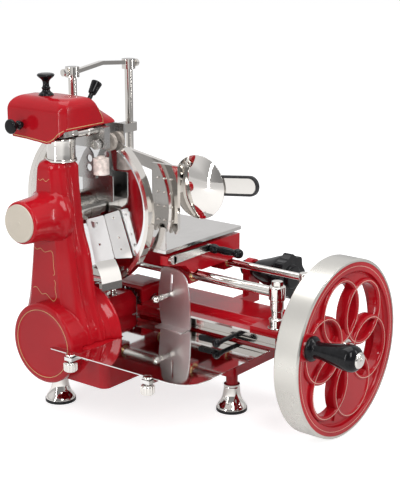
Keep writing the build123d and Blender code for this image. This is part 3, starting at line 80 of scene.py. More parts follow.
# ------------------------------------------------------------------------------ shader groups
class NodeTree:
    """Small helper that adds and links shader nodes in one tree."""

    def __init__(self, tree: bpy.types.NodeTree) -> None:
        """Keep the tree that nodes are added to."""
        self.tree = tree
        self.material: Optional[bpy.types.Material] = None

    def add(self, kind: str, inputs: Optional[dict] = None, **settings: object) -> bpy.types.Node:
        """Add a node.

        Args:
            kind: Name of the node's type, without the leading ShaderNode.
            inputs: Values or sockets for its inputs, by name or by index.
            settings: Properties of the node itself.

        Returns:
            The new node.
        """
        node = self.tree.nodes.new("ShaderNode" + kind)
        for name, value in settings.items():
            setattr(node, name, value)
        for key, value in (inputs or {}).items():
            socket = node.inputs[key]
            if isinstance(value, bpy.types.NodeSocket):
                self.tree.links.new(value, socket)
            else:
                socket.default_value = value
        return node

    def math(self, operation: str, first: object, second: object = 0,
             third: object = None) -> bpy.types.NodeSocket:
        """Add a Math node.

        Args:
            operation: Name of the operation.
            first: First value or socket.
            second: Second value or socket.
            third: Third value or socket, for the operations that take one.

        Returns:
            The node's output socket.
        """
        inputs = {0: first, 1: second}
        if third is not None:
            inputs[2] = third
        return self.add("Math", inputs, operation=operation).outputs[0]

    def ramp(self, value: bpy.types.NodeSocket, low: float, high: float, to_low: float = 0,
             to_high: float = 1) -> bpy.types.NodeSocket:
        """Map a value's range onto another, smoothly.

        Args:
            value: Socket with the value.
            low: Value that gives to_low.
            high: Value that gives to_high.
            to_low: Result at low.
            to_high: Result at high.

        Returns:
            The mapped value's socket.
        """
        node = self.add("MapRange", {"Value": value, "From Min": low, "From Max": high, "To Min": to_low,
                                     "To Max": to_high}, interpolation_type="SMOOTHSTEP")
        return node.outputs[0]

    def mix(self, factor: object, first: object, second: object) -> bpy.types.NodeSocket:
        """Mix two colours.

        Args:
            factor: Share of the second colour.
            first: First colour or socket.
            second: Second colour or socket.

        Returns:
            The mixed colour's socket.
        """
        return self.add("Mix", {0: factor, 6: first, 7: second}, data_type="RGBA").outputs[2]

    def close(self, out: bpy.types.Node, results: dict[str, bpy.types.NodeSocket]) -> bpy.types.NodeTree:
        """Link a group's results to its output node.

        Args:
            out: The group's output node.
            results: The sockets to put out, by name.

        Returns:
            The group's tree.
        """
        for name, socket in results.items():
            self.tree.links.new(socket, out.inputs[name])
        return self.tree

    def surface(self, base: bpy.types.NodeSocket, rough: bpy.types.NodeSocket, height: bpy.types.NodeSocket,
                relief: tuple[float, float], constants: dict[str, float]) -> bpy.types.Material:
        """Feed the material's shader.

        Args:
            base: Socket with the colour.
            rough: Socket with the roughness.
            height: Socket with the height of the skin's relief.
            relief: Strength and depth of that relief.
            constants: Fixed values of the shader's other sockets.

        Returns:
            The finished material.
        """
        shader = self.tree.nodes["Principled BSDF"]
        bump = self.add("Bump", {"Height": height, "Strength": relief[0], "Distance": relief[1]})
        for name, socket in (("Base Color", base), ("Roughness", rough), ("Normal", bump.outputs[0])):
            self.tree.links.new(socket, shader.inputs[name])
        for name, value in constants.items():
            shader.inputs[name].default_value = value
        return self.material


def new_group(name: str, inputs: Sequence[tuple], outputs: Sequence[str]) -> tuple:
    """Start a shader node group.

    Args:
        name: The group's name.
        inputs: Pairs of socket name and default value; a vector's default is None.
        outputs: Names of the values that it puts out.

    Returns:
        The group's tree helper, its input node and its output node.
    """
    tree = bpy.data.node_groups.new(name, "ShaderNodeTree")
    for label, value in inputs:
        kind = "NodeSocketVector" if value is None else "NodeSocketFloat"
        socket = tree.interface.new_socket(label, in_out="INPUT", socket_type=kind)
        if value is not None:
            socket.default_value = value
    for label in outputs:
        tree.interface.new_socket(label, in_out="OUTPUT", socket_type="NodeSocketFloat")
    helper = NodeTree(tree)
    return helper, tree.nodes.new("NodeGroupInput"), tree.nodes.new("NodeGroupOutput")


class Effect(Enum):
    """Shader effects that several finishes share."""

    ORANGE_PEEL = "orange_peel"
    HANDLING = "handling_marks"
    TURNING = "turning_marks"
    GRIT = "grit"


def build_orange_peel() -> bpy.types.NodeTree:
    """Slow waves and fine specks of sprayed enamel, and the dust that settles in it.

    Returns:
        The node group, with a height and a dust mask.
    """
    helper, source, out = new_group(Effect.ORANGE_PEEL.value,
                                    [("Place", None), ("Wave", 38), ("Speck", 420)],
                                    ["Height", "Dust"])
    wave = helper.add("TexNoise", {"Vector": source.outputs["Place"], "Scale": source.outputs["Wave"],
                                   "Detail": 2, "Roughness": 0.45})
    speck = helper.add("TexNoise", {"Vector": source.outputs["Place"], "Scale": source.outputs["Speck"],
                                    "Detail": 3, "Roughness": 0.6})
    height = helper.math("MULTIPLY_ADD", speck.outputs[0], 0.22, wave.outputs[0])
    cloud = helper.add("TexNoise", {"Vector": source.outputs["Place"], "Scale": 9, "Detail": 5})
    dust = helper.math("MULTIPLY", helper.ramp(speck.outputs[0], 0.56, 0.78),
                       helper.ramp(cloud.outputs[0], 0.4, 0.75))
    return helper.close(out, {"Height": height, "Dust": dust})


def build_handling_marks() -> bpy.types.NodeTree:
    """Wiped film, faint scratches and cloudy patches of metal that is handled and polished.

    Returns:
        The node group, with a film mask, a scratch mask and a height.
    """
    helper, source, out = new_group(Effect.HANDLING.value, [("Place", None), ("Film", 7), ("Scratch", 60)],
                                    ["Film", "Scratch",
                                     "Height"])
    film = helper.add("TexNoise", {"Vector": source.outputs["Place"], "Scale": source.outputs["Film"],
                                   "Detail": 6, "Roughness": 0.62, "Distortion": 0.6})
    stretch = helper.add("Mapping", {"Vector": source.outputs["Place"], "Rotation": (0.5, 0.3, 0.9),
                                     "Scale": (1, 14, 1)})
    lines = helper.add("TexNoise", {"Vector": stretch.outputs[0], "Scale": source.outputs["Scratch"],
                                    "Detail": 4, "Roughness": 0.7})
    scratch = helper.ramp(lines.outputs[0], 0.6, 0.74)
    return helper.close(out, {"Film": helper.ramp(film.outputs[0], 0.35, 0.7), "Scratch": scratch,
                              "Height": helper.math("MULTIPLY_ADD", lines.outputs[0], 0.4,
                                                    film.outputs[0])})


def build_turning_marks() -> bpy.types.NodeTree:
    """Concentric tool marks about an axis that runs through the place's own origin along X.

    Returns:
        The node group, with a groove height and a broad ring mask.
    """
    helper, source, out = new_group(Effect.TURNING.value, [("Place", None), ("Pitch", 900)],
                                    ["Height", "Ring"])
    flat = helper.add("VectorMath", {0: source.outputs["Place"], 1: (0, 1, 1)}, operation="MULTIPLY")
    radius = helper.add("VectorMath", {0: flat.outputs[0]}, operation="LENGTH").outputs["Value"]
    line = helper.math("SINE", helper.math("MULTIPLY", radius, source.outputs["Pitch"]))
    wander = helper.add("TexNoise", {"W": helper.math("MULTIPLY", radius, 260), "Scale": 1, "Detail": 4},
                        noise_dimensions="1D")
    return helper.close(out, {"Height": helper.math("MULTIPLY_ADD", line, 0.12, wander.outputs[0]),
                              "Ring": helper.ramp(wander.outputs[0], 0.3, 0.7)})


def build_grit() -> bpy.types.NodeTree:
    """Coarse and fine grains of a grinding wheel or of a sand casting.

    Returns:
        The node group, with a height and a tint mask.
    """
    helper, source, out = new_group(Effect.GRIT.value, [("Place", None), ("Grain", 900)],
                                    ["Height", "Tint"])
    cell = helper.add("TexVoronoi", {"Vector": source.outputs["Place"], "Scale": source.outputs["Grain"]})
    cloud = helper.add("TexNoise", {"Vector": source.outputs["Place"], "Scale": 120, "Detail": 5})
    return helper.close(out, {"Height": helper.math("ADD", cell.outputs["Distance"], cloud.outputs[0]),
                              "Tint": cloud.outputs[0]})


EFFECT_BUILDERS: dict[Effect, Callable[[], bpy.types.NodeTree]] = {
    Effect.ORANGE_PEEL: build_orange_peel,
    Effect.HANDLING: build_handling_marks,
    Effect.TURNING: build_turning_marks,
    Effect.GRIT: build_grit,
}
effects: dict[Effect, bpy.types.NodeTree] = {}


def use_effect(helper: NodeTree, effect: Effect, inputs: dict) -> bpy.types.Node:
    """Place a shared effect in a material.

    Args:
        helper: The material's tree.
        effect: Which effect.
        inputs: Its inputs by name.

    Returns:
        The group node.
    """
    if effect not in effects:
        effects[effect] = EFFECT_BUILDERS[effect]()
    node = helper.tree.nodes.new("ShaderNodeGroup")
    node.node_tree = effects[effect]
    for name, value in inputs.items():
        socket = node.inputs[name]
        if isinstance(value, bpy.types.NodeSocket):
            helper.tree.links.new(value, socket)
        else:
            socket.default_value = value
    return node


# ----------------------------------------------------------------------------------- finishes
Colour = tuple[float, float, float]


def start_material(name: str) -> tuple[NodeTree, bpy.types.NodeSocket]:
    """Start a material.

    Args:
        name: The material's name.

    Returns:
        The tree helper and the socket with the surface's place in the frame.
    """
    material = bpy.data.materials.new(name)
    material.use_nodes = True
    helper = NodeTree(material.node_tree)
    helper.material = material
    return helper, helper.add("TexCoord").outputs["Object"]


def tinted(colour: Colour, factor: float, lift: float = 0) -> tuple[float, ...]:
    """Darker or paler version of a colour, with its opacity."""
    return (*[min(channel * factor + lift, 1) for channel in colour], 1)


@dataclass(frozen=True)
class Finish:
    """What every finish has: a name, a colour and its own way to build its material."""

    name: str
    colour: Colour

    def build(self) -> bpy.types.Material:
        """Build the material, in each finish's own way."""
        raise NotImplementedError


@dataclass(frozen=True)
class Enamel(Finish):
    """Gloss enamel over a casting, with the waves and dust that spraying leaves."""

    roughness: float = 0.16
    peel: float = 0.05

    def build(self) -> bpy.types.Material:
        """Build the material.

        Returns:
            The finished material.
        """
        helper, spot = start_material(self.name)
        peel = use_effect(helper, Effect.ORANGE_PEEL, {"Place": spot})
        cloud = helper.add("TexNoise", {"Vector": spot, "Scale": 6, "Detail": 3})
        base = helper.mix(helper.ramp(cloud.outputs[0], 0.3, 0.7), tinted(self.colour, 1),
                          tinted(self.colour, 0.78))
        base = helper.mix(helper.math("MULTIPLY", peel.outputs["Dust"], 0.25), base,
                          tinted(self.colour, 1.25, 0.01))
        rough = helper.ramp(cloud.outputs[0], 0.2, 0.8, self.roughness * 0.8, self.roughness * 1.3)
        return helper.surface(base, rough, peel.outputs["Height"], (self.peel, 0.0006),
                              {"Specular IOR Level": 0.12, "Coat Weight": 0.27, "Coat Roughness": 0.03,
                               "Coat IOR": 1.5})


@dataclass(frozen=True)
class Plate(Finish):
    """Polished or satin metal: nickel plate, ground steel, aluminium or bronze."""

    roughness: float = 0.12
    film: float = 0.10
    scratch: float = 0.08
    bump: float = 0.03
    film_scale: float = 7
    scratch_scale: float = 60

    def build(self) -> bpy.types.Material:
        """Build the material.

        Returns:
            The finished material.
        """
        helper, spot = start_material(self.name)
        marks = use_effect(helper, Effect.HANDLING, {"Place": spot, "Film": self.film_scale,
                                                     "Scratch": self.scratch_scale})
        base = helper.mix(helper.math("MULTIPLY", marks.outputs["Film"], 0.5), tinted(self.colour, 1),
                          tinted(self.colour, 0.86))
        rough = helper.math("MULTIPLY_ADD", marks.outputs["Film"], self.film, self.roughness)
        rough = helper.math("MULTIPLY_ADD", marks.outputs["Scratch"], self.scratch, rough)
        return helper.surface(base, rough, marks.outputs["Height"], (self.bump, 0.0005), {"Metallic": 1})


@dataclass(frozen=True)
class Turned(Finish):
    """Steel faced on a lathe about an axis along X, with fine rings under the polish."""

    centre: tuple[float, float, float]
    roughness: float = 0.14
    ring: float = 0.06
    bump: float = 0.04
    anisotropy: float = 0.5

    def build(self) -> bpy.types.Material:
        """Build the material.

        Returns:
            The finished material.
        """
        helper, spot = start_material(self.name)
        moved = helper.add("VectorMath", {0: spot, 1: self.centre}, operation="SUBTRACT")
        marks = use_effect(helper, Effect.TURNING, {"Place": moved.outputs[0]})
        wiped = use_effect(helper, Effect.HANDLING, {"Place": spot, "Film": 9, "Scratch": 90})
        base = helper.mix(helper.math("MULTIPLY", marks.outputs["Ring"], 0.35), tinted(self.colour, 1),
                          tinted(self.colour, 0.85))
        rough = helper.math("MULTIPLY_ADD", marks.outputs["Ring"], self.ring, self.roughness)
        rough = helper.math("MULTIPLY_ADD", wiped.outputs["Film"], 0.05, rough)
        return helper.surface(base, rough, marks.outputs["Height"], (self.bump, 0.0004),
                              {"Metallic": 1, "Anisotropic": self.anisotropy})


@dataclass(frozen=True)
class Moulded(Finish):
    """Moulded black plastic, rubber or abrasive: a dark body with a fine skin."""

    roughness: float = 0.2
    grain: float = 700
    bump: float = 0.04
    coat: float = 0.3

    def build(self) -> bpy.types.Material:
        """Build the material.

        Returns:
            The finished material.
        """
        helper, spot = start_material(self.name)
        grit = use_effect(helper, Effect.GRIT, {"Place": spot, "Grain": self.grain})
        wiped = use_effect(helper, Effect.HANDLING, {"Place": spot, "Film": 22, "Scratch": 120})
        base = helper.mix(helper.ramp(grit.outputs["Tint"], 0.35, 0.7), tinted(self.colour, 1),
                          tinted(self.colour, 1.6, 0.002))
        rough = helper.math("MULTIPLY_ADD", wiped.outputs["Film"], self.roughness * 0.6, self.roughness)
        return helper.surface(base, rough, grit.outputs["Height"], (self.bump, 0.0003),
                              {"Specular IOR Level": 0.13, "Coat Weight": self.coat,
                               "Coat Roughness": 0.08})


RED: Colour = (0.44, 0.006, 0.013)
materials: dict[str, bpy.types.Material] = {}


def material_of(finish: Finish) -> bpy.types.Material:
    """Build a finish's material once.

    Args:
        finish: The finish, one of the dataclasses above.

    Returns:
        Its material.
    """
    if finish.name not in materials:
        materials[finish.name] = finish.build()
    return materials[finish.name]


SHAFT_HEIGHT = -202.5
WHEEL_X = 120
CENTRE = tuple(BLADE_CENTRE)

ENAMEL = Enamel("red_enamel", RED)
NICKEL = Plate("nickel_plate", (0.69, 0.66, 0.62), roughness=0.07, film=0.06)
SATIN_NICKEL = Plate("satin_nickel", (0.66, 0.65, 0.625), roughness=0.17, film=0.08)
BAND_NICKEL = Plate("wheel_band_nickel", (0.60, 0.585, 0.545), roughness=0.27, film=0.08, scratch_scale=30)
MIRROR = Plate("mirror_plate", (0.72, 0.695, 0.66), roughness=0.03, film=0.03)
GROUND_STEEL = Plate("ground_steel", (0.46, 0.45, 0.44), roughness=0.22)
TRAY_METAL = Plate("tray_metal", (0.70, 0.69, 0.68), roughness=0.045, film=0.035, scratch=0.05, bump=0.015)
BRONZE = Plate("bronze", (0.60, 0.42, 0.20), roughness=0.28)
BLADE_STEEL = Turned("blade_steel", (0.71, 0.71, 0.71), CENTRE, roughness=0.035, ring=0.03, bump=0.015)
CREAM = Enamel("cream_disc", (0.62, 0.56, 0.47), roughness=0.42, peel=0.12)
PALE_LINE = Enamel("pale_line", (0.78, 0.50, 0.40), roughness=0.3, peel=0.1)
GOLD_LINE = Enamel("gold_line", (0.66, 0.45, 0.20), roughness=0.3, peel=0.1)
BLACK = Moulded("black_knob", (0.004, 0.004, 0.005), roughness=0.07, coat=0.14)
RUBBER = Moulded("black_rim", (0.018, 0.018, 0.019), roughness=0.32, coat=0.2)
PANEL = Plate("panel_metal", (0.86, 0.85, 0.84), roughness=0.42, film=0.06, scratch=0.05, bump=0.015)
CUP = Moulded("pale_stone", (0.62, 0.54, 0.50), roughness=0.5, grain=1400, bump=0.15, coat=0.1)
DARK_STEEL = Plate("dark_steel", (0.42, 0.41, 0.40), roughness=0.2)
GUIDE_METAL = Plate("guide_metal", (0.80, 0.78, 0.775), roughness=0.30, film=0.05, scratch=0.05, bump=0.015)
TABLE_METAL = Plate("table_metal", (0.60, 0.58, 0.56), roughness=0.16, film=0.05, scratch=0.05, bump=0.015)
STONE = Moulded("grinding_stone", (0.30, 0.27, 0.24), roughness=0.85, grain=1400, bump=0.4, coat=0)

NODES_BY_FINISH: tuple[tuple[Finish, str], ...] = (
    (ENAMEL, "base_casting carriage_bed transmission_covers gear_column column_cover hub_housing "
             "gear_cap flywheel_web carriage sharpener_hood"),
    (MIRROR, "foot_bells slide_rods rod_posts sharpener_neck flywheel_fittings hand_guard"),
    (BRONZE, "shaft_bushes blade_bearings carriage_bushes"),
    (NICKEL, "bed_edge_rail blade_bearing_housing blade_guard_ring guide_plate blade_clamp_plates "
             "fence_posts fence_crossbar gripper_arm gripper_jaw table_lever tray_thumbscrew_front "
             "tray_thumbscrew_rear"),
    (CREAM, "hub_end_disc"),
    (GROUND_STEEL, "idler_pins flywheel_shaft mitre_pinion cross_shaft mitre_gear drive_gear "
                   "idler_gear_1 idler_gear_2 idler_gear_3 blade_shaft blade_pinion sharpener_head"),
    (SATIN_NICKEL, "slice_deflector"),
    (TRAY_METAL, "drip_tray product_table"),
    (BLACK, "dial_housing crank_grip table_lever_handle hood_knob side_knob cone_knob star_knob "
            "index_lever"),
    (BAND_NICKEL, "flywheel_band"),
    (BLADE_STEEL, "blade"),
    (RUBBER, "paddle_rim"),
    (STONE, "grinding_stone deburring_stone"),
)
NODE_FINISH = {node: finish for finish, nodes in NODES_BY_FINISH for node in nodes.split()}


def soften(obj: bpy.types.Object, width: float = 0.6, angle: float = 32, segments: int = 2) -> None:
    """Round an object's sharp edges a little, so that they catch the light.

    Args:
        obj: The object.
        width: Width of the rounding in millimetres.
        angle: Edges sharper than this many degrees are rounded.
        segments: Steps across the rounding.
    """
    bevel = obj.modifiers.new("edge_round", "BEVEL")
    bevel.width = width * MM
    bevel.segments = segments
    bevel.limit_method = "ANGLE"
    bevel.angle_limit = math.radians(angle)
    bevel.harden_normals = True
    bevel.use_clamp_overlap = True


def dress_frame_nodes() -> None:
    """Give every carried-over node its finish."""
    for name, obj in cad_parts.items():
        obj.data.materials.clear()
        obj.data.materials.append(material_of(NODE_FINISH[name]))
        soften(obj)


def new_object(name: str, data: bpy.types.ID) -> bpy.types.Object:
    """Put a new object in the scene."""
    obj = bpy.data.objects.new(name, data)
    bpy.context.scene.collection.objects.link(obj)
    return obj


# --------------------------------------------------------------------------- shaping
Point = tuple[float, float, float]
Flat = tuple[float, float]


class Axis(Enum):
    """Direction of a turned piece, with the rule that puts its own coordinates in the machine."""

    X = "x"
    Y = "y"
    Z = "z"

    def spot(self, start: float, at: Flat, radius: float, along: float, turn: float) -> Point:
        """Point on a turned surface.

        Args:
            start: Where the piece starts along its axis.
            at: The two other coordinates of the axis.
            radius: Distance from the axis.
            along: Distance from the start.
            turn: Angle about the axis in radians.

        Returns:
            The point in machine millimetres.
        """
        across, up = radius * math.cos(turn), radius * math.sin(turn)
        if self is Axis.X:
            return (start + along, at[0] + across, at[1] + up)
        if self is Axis.Y:
            return (at[0] + across, start + along, at[1] + up)
        return (at[0] + across, at[1] + up, start + along)


def eased(points: Sequence[Sequence[float]], steps: int = 4) -> list[tuple[float, ...]]:
    """Smooth line through points; a point given twice in a row stays a sharp corner.

    Args:
        points: Points to pass through.
        steps: New points between each pair.

    Returns:
        The smooth line's points.
    """
    line: list[tuple[float, ...]] = []
    for index in range(len(points) - 1):
        before, here, there, after = (Vector(points[max(index - 1, 0)]), Vector(points[index]),
                                      Vector(points[index + 1]),
                                      Vector(points[min(index + 2, len(points) - 1)]))
        if here == there:
            continue
        if index and Vector(points[index - 1]) == here:
            before = here
        if index + 2 < len(points) and Vector(points[index + 2]) == there:
            after = there
        for step in range(steps):
            t = step / steps
            spot = (here * 2 + (there - before) * t + (before * 2 - here * 5 + there * 4 - after) * t * t
                    + (here * 3 - before - there * 3 + after) * t ** 3) * 0.5
            line.append(tuple(spot))
    line.append(tuple(points[-1]))
    return line


SAME_SPOT = 1e-4
ON_AXIS = 1e-6


class Shape:
    """Vertices and faces gathered in machine millimetres until they become one piece."""

    def __init__(self) -> None:
        """Start empty."""
        self.bm = bmesh.new()

    def rings(self, rings: Sequence[Sequence[Point]], closed: bool = False) -> "Shape":
        """Join rings of the same number of points with a skin.

        Args:
            rings: The rings, in order.
            closed: Whether the last ring joins the first.

        Returns:
            The shape itself.
        """
        rows = [[self.bm.verts.new(point) for point in ring] for ring in rings]
        pairs = list(zip(rows, rows[1:])) + ([(rows[-1], rows[0])] if closed else [])
        for first, second in pairs:
            for index in range(len(first)):
                following = (index + 1) % len(first)
                self.bm.faces.new((first[index], first[following], second[following], second[index]))
        if not closed:
            self.bm.faces.new(list(reversed(rows[0])))
            self.bm.faces.new(rows[-1])
        return self

    def turned(self, profile: Sequence[Sequence[float]], axis: Axis, start: float, at: Flat,
               sides: int = 64) -> "Shape":
        """Add a solid of revolution.

        Args:
            profile: Pairs of radius and distance along the axis, from one end to the other; a profile
                that comes back to its first point makes a ring.
            axis: Direction of the axis.
            start: Where the piece starts along the axis.
            at: The two other coordinates of the axis.
            sides: Steps round the axis.

        Returns:
            The shape itself.
        """
        turns = [math.radians(360 * step / sides) for step in range(sides)]
        looped = (Vector(profile[0]) - Vector(profile[-1])).length < SAME_SPOT
        rows = []
        for radius, along in profile[:-1] if looped else profile:
            around = turns if radius > ON_AXIS else (0,)
            rows.append([self.bm.verts.new(axis.spot(start, at, radius, along, turn)) for turn in around])
        for lower, upper in zip(rows, rows[1:] + ([rows[0]] if looped else [])):
            for index in range(sides):
                following = (index + 1) % sides
                corners = [lower[index % len(lower)], lower[following % len(lower)],
                           upper[following % len(upper)], upper[index % len(upper)]]
                corners = list(dict.fromkeys(corners))
                if len(corners) > 2:
                    self.bm.faces.new(corners)
        for cap in () if looped else (list(reversed(rows[0])), rows[-1]):
            if len(cap) > 2:
                self.bm.faces.new(cap)
        return self

    def rod(self, radius: float, length: float, axis: Axis, start: float, at: Flat,
            sides: int = 64) -> "Shape":
        """Add a plain rod, for what a finer turned piece carries or hides."""
        return self.turned(oblong(0, 0, radius, length), axis, start, at, sides)

    def plate(self, outline: Sequence[Flat], holes: Sequence[Sequence[Flat]],
              to_space: Callable[[float, float, float], Point],
              low: float, high: float) -> "Shape":
        """Add a flat plate with holes.

        Args:
            outline: Points of its outside.
            holes: Outlines of its holes.
            to_space: Turns the flat point and a level into a machine point.
            low: Level of one face.
            high: Level of the other.

        Returns:
            The shape itself.
        """
        loops = [outline, *holes]
        faces = []
        levels = []
        for level in (low, high):
            edges = []
            rows = []
            for loop in loops:
                row = [self.bm.verts.new(to_space(u, v, level)) for u, v in loop]
                edges += [self.bm.edges.new((row[index - 1], row[index])) for index in range(len(row))]
                rows.append(row)
            made = bmesh.ops.triangle_fill(self.bm, edges=edges, use_beauty=True, use_dissolve=False)
            faces += [item for item in made["geom"] if isinstance(item, bmesh.types.BMFace)]
            levels.append(rows)
        for lower, upper in zip(*levels):
            for index in range(len(lower)):
                self.bm.faces.new((lower[index - 1], lower[index], upper[index], upper[index - 1]))
        return self

    def sweep(self, path: Sequence[Point], section: Sequence[Flat], closed: bool = False,
              up: Point = (0, 0, 1)) -> "Shape":
        """Carry a section along a path.

        Args:
            path: Points of the path.
            section: Pairs of sideways and upward distance.
            closed: Whether the path is a loop.
            up: Direction that the section's second distance leans to.

        Returns:
            The shape itself.
        """
        spots = [Vector(point) for point in path]
        count = len(spots)
        rings = []
        for index, spot in enumerate(spots):
            ahead = spots[(index + 1) % count] if closed or index + 1 < count else spot
            behind = spots[index - 1] if closed or index else spot
            tangent = (ahead - behind).normalized()
            side = tangent.cross(Vector(up)).normalized()
            rise = side.cross(tangent).normalized()
            rings.append([tuple(spot + side * across + rise * height) for across, height in section])
        return self.rings(rings, closed=closed)

    def piece(self, name: str, finish: Finish, body: str, slot: str, stands_for: Sequence[str] = (),
              sharp: float = 35, soft: float = 0) -> bpy.types.Object:
        """Close the shape into a piece of the machine.

        Args:
            name: The piece's name.
            finish: Its finish.
            body: The moving body that it rides on.
            slot: Material slot name; not used.
            stands_for: CAD nodes that it replaces.
            sharp: Edges sharper than this many degrees stay crisp.
            soft: Width of the edge rounding in millimetres, or 0.

        Returns:
            The new object.
        """
        bmesh.ops.recalc_face_normals(self.bm, faces=self.bm.faces)
        mesh = bpy.data.meshes.new(name)
        self.bm.to_mesh(mesh)
        self.bm.free()
        mesh.transform(TO_FRAME)
        mesh.shade_smooth()
        mesh.set_sharp_from_angle(angle=math.radians(sharp))
        obj = new_object(name, mesh)
        mesh.materials.append(material_of(finish))
        if soft:
            soften(obj, soft)
        fit(obj, body, stands_for)
        return obj


def fit(obj: bpy.types.Object, body: str, stands_for: Sequence[str] = ()) -> None:
    """Hang a piece on its body and say what it stands for.

    Args:
        obj: The piece.
        body: The moving body that it rides on.
        stands_for: CAD nodes that it replaces.
    """
    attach(obj, body)
    if stands_for:
        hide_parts(*stands_for)
    log.info("%s rides on %s", obj.name, body)


def cast(name: str, moulds: Sequence[bpy.types.Mesh], finish: Finish, body: str,
         stands_for: Sequence[str], grain: float, rounds: int) -> bpy.types.Object:
    """Join closed meshes into one casting with the soft corners that a sand mould leaves.

    Args:
        name: The piece's name.
        moulds: The closed meshes, in frame metres.
        finish: Its finish.
        body: The moving body that it rides on.
        stands_for: CAD nodes that it replaces.
        grain: Size of the mesh's cells in millimetres.
        rounds: Passes of smoothing.

    Returns:
        The new object.
    """
    bm = bmesh.new()
    for mould in moulds:
        bm.from_mesh(mould)
    mesh = bpy.data.meshes.new(name)
    bm.to_mesh(mesh)
    bm.free()
    obj = new_object(name, mesh)
    remesh = obj.modifiers.new("cast", "REMESH")
    remesh.mode = "VOXEL"
    remesh.voxel_size = grain * MM
    remesh.use_smooth_shade = True
    smooth = obj.modifiers.new("ease", "SMOOTH")
    smooth.factor = 0.5
    smooth.iterations = rounds
    bpy.context.view_layer.update()
    depsgraph = bpy.context.evaluated_depsgraph_get()
    done = bpy.data.meshes.new_from_object(obj.evaluated_get(depsgraph))
    obj.modifiers.clear()
    obj.data = done
    done.name = name
    done.materials.clear()
    done.materials.append(material_of(finish))
    done.shade_smooth()
    fit(obj, body, stands_for)
    return obj


def disc_points(centre: Flat, radius: float, count: int = 96, first: float = 0,
                sweep: float = 360) -> list[Flat]:
    """Points round a circle or along an arc.

    Args:
        centre: The circle's centre.
        radius: Its radius.
        count: Steps along it.
        first: Angle of the first point in degrees.
        sweep: Angle that it covers; a full turn leaves out the last point.

    Returns:
        The points.
    """
    number = count if sweep >= 360 else count + 1
    return [(centre[0] + radius * math.cos(math.radians(first + sweep * step / count)),
             centre[1] + radius * math.sin(math.radians(first + sweep * step / count)))
            for step in range(number)]


def oblong(u0: float, v0: float, u1: float, v1: float) -> list[Flat]:
    """Outline of an oblong between two corners."""
    return [(u0, v0), (u1, v0), (u1, v1), (u0, v1)]


def polar(radius: float, angle: float) -> Flat:
    """Point on a circle about the origin, its angle in degrees."""
    return (radius * math.cos(math.radians(angle)), radius * math.sin(math.radians(angle)))


BRUSH_SECTION: tuple[Flat, ...] = ((-1, -0.6), (1, -0.6), (0.55, 0.35), (-0.55, 0.35))


def brush_line(width: float) -> list[Flat]:
    """Section of a painted line of the given width in millimetres, low and slightly crowned."""
    return [(across * width / 2, height * 0.35) for across, height in BRUSH_SECTION]


def rounded(corners: Sequence[Flat], radius: float, steps: int = 5) -> list[Flat]:
    """Outline whose corners are rounded.

    Args:
        corners: The sharp outline.
        radius: How far from each corner the rounding starts.
        steps: Steps along each rounding.

    Returns:
        The rounded outline's points.
    """
    points = []
    for index, corner in enumerate(corners):
        here = Vector(corner)
        before = Vector(corners[index - 1]) - here
        after = Vector(corners[(index + 1) % len(corners)]) - here
        start = here + before.normalized() * min(radius, before.length * 0.45)
        end = here + after.normalized() * min(radius, after.length * 0.45)
        for step in range(steps + 1):
            t = step / steps
            points.append(tuple(start * (1 - t) ** 2 + here * 2 * t * (1 - t) + end * t * t))
    return points


def from_side(u: float, v: float, level: float) -> Point:
    """Machine point of a flat piece that is seen along X."""
    return (level, u, v)


def from_front(u: float, v: float, level: float) -> Point:
    """Machine point of a flat piece that is seen along Y."""
    return (u, level, v)


def from_above(u: float, v: float, level: float) -> Point:
    """Machine point of a flat piece that is seen along Z."""
    return (u, v, level)


class Assembly:
    """A sub-assembly of the machine, which builds its own pieces."""

    def build(self) -> None:
        """Build the pieces, in each sub-assembly's own way."""
        raise NotImplementedError


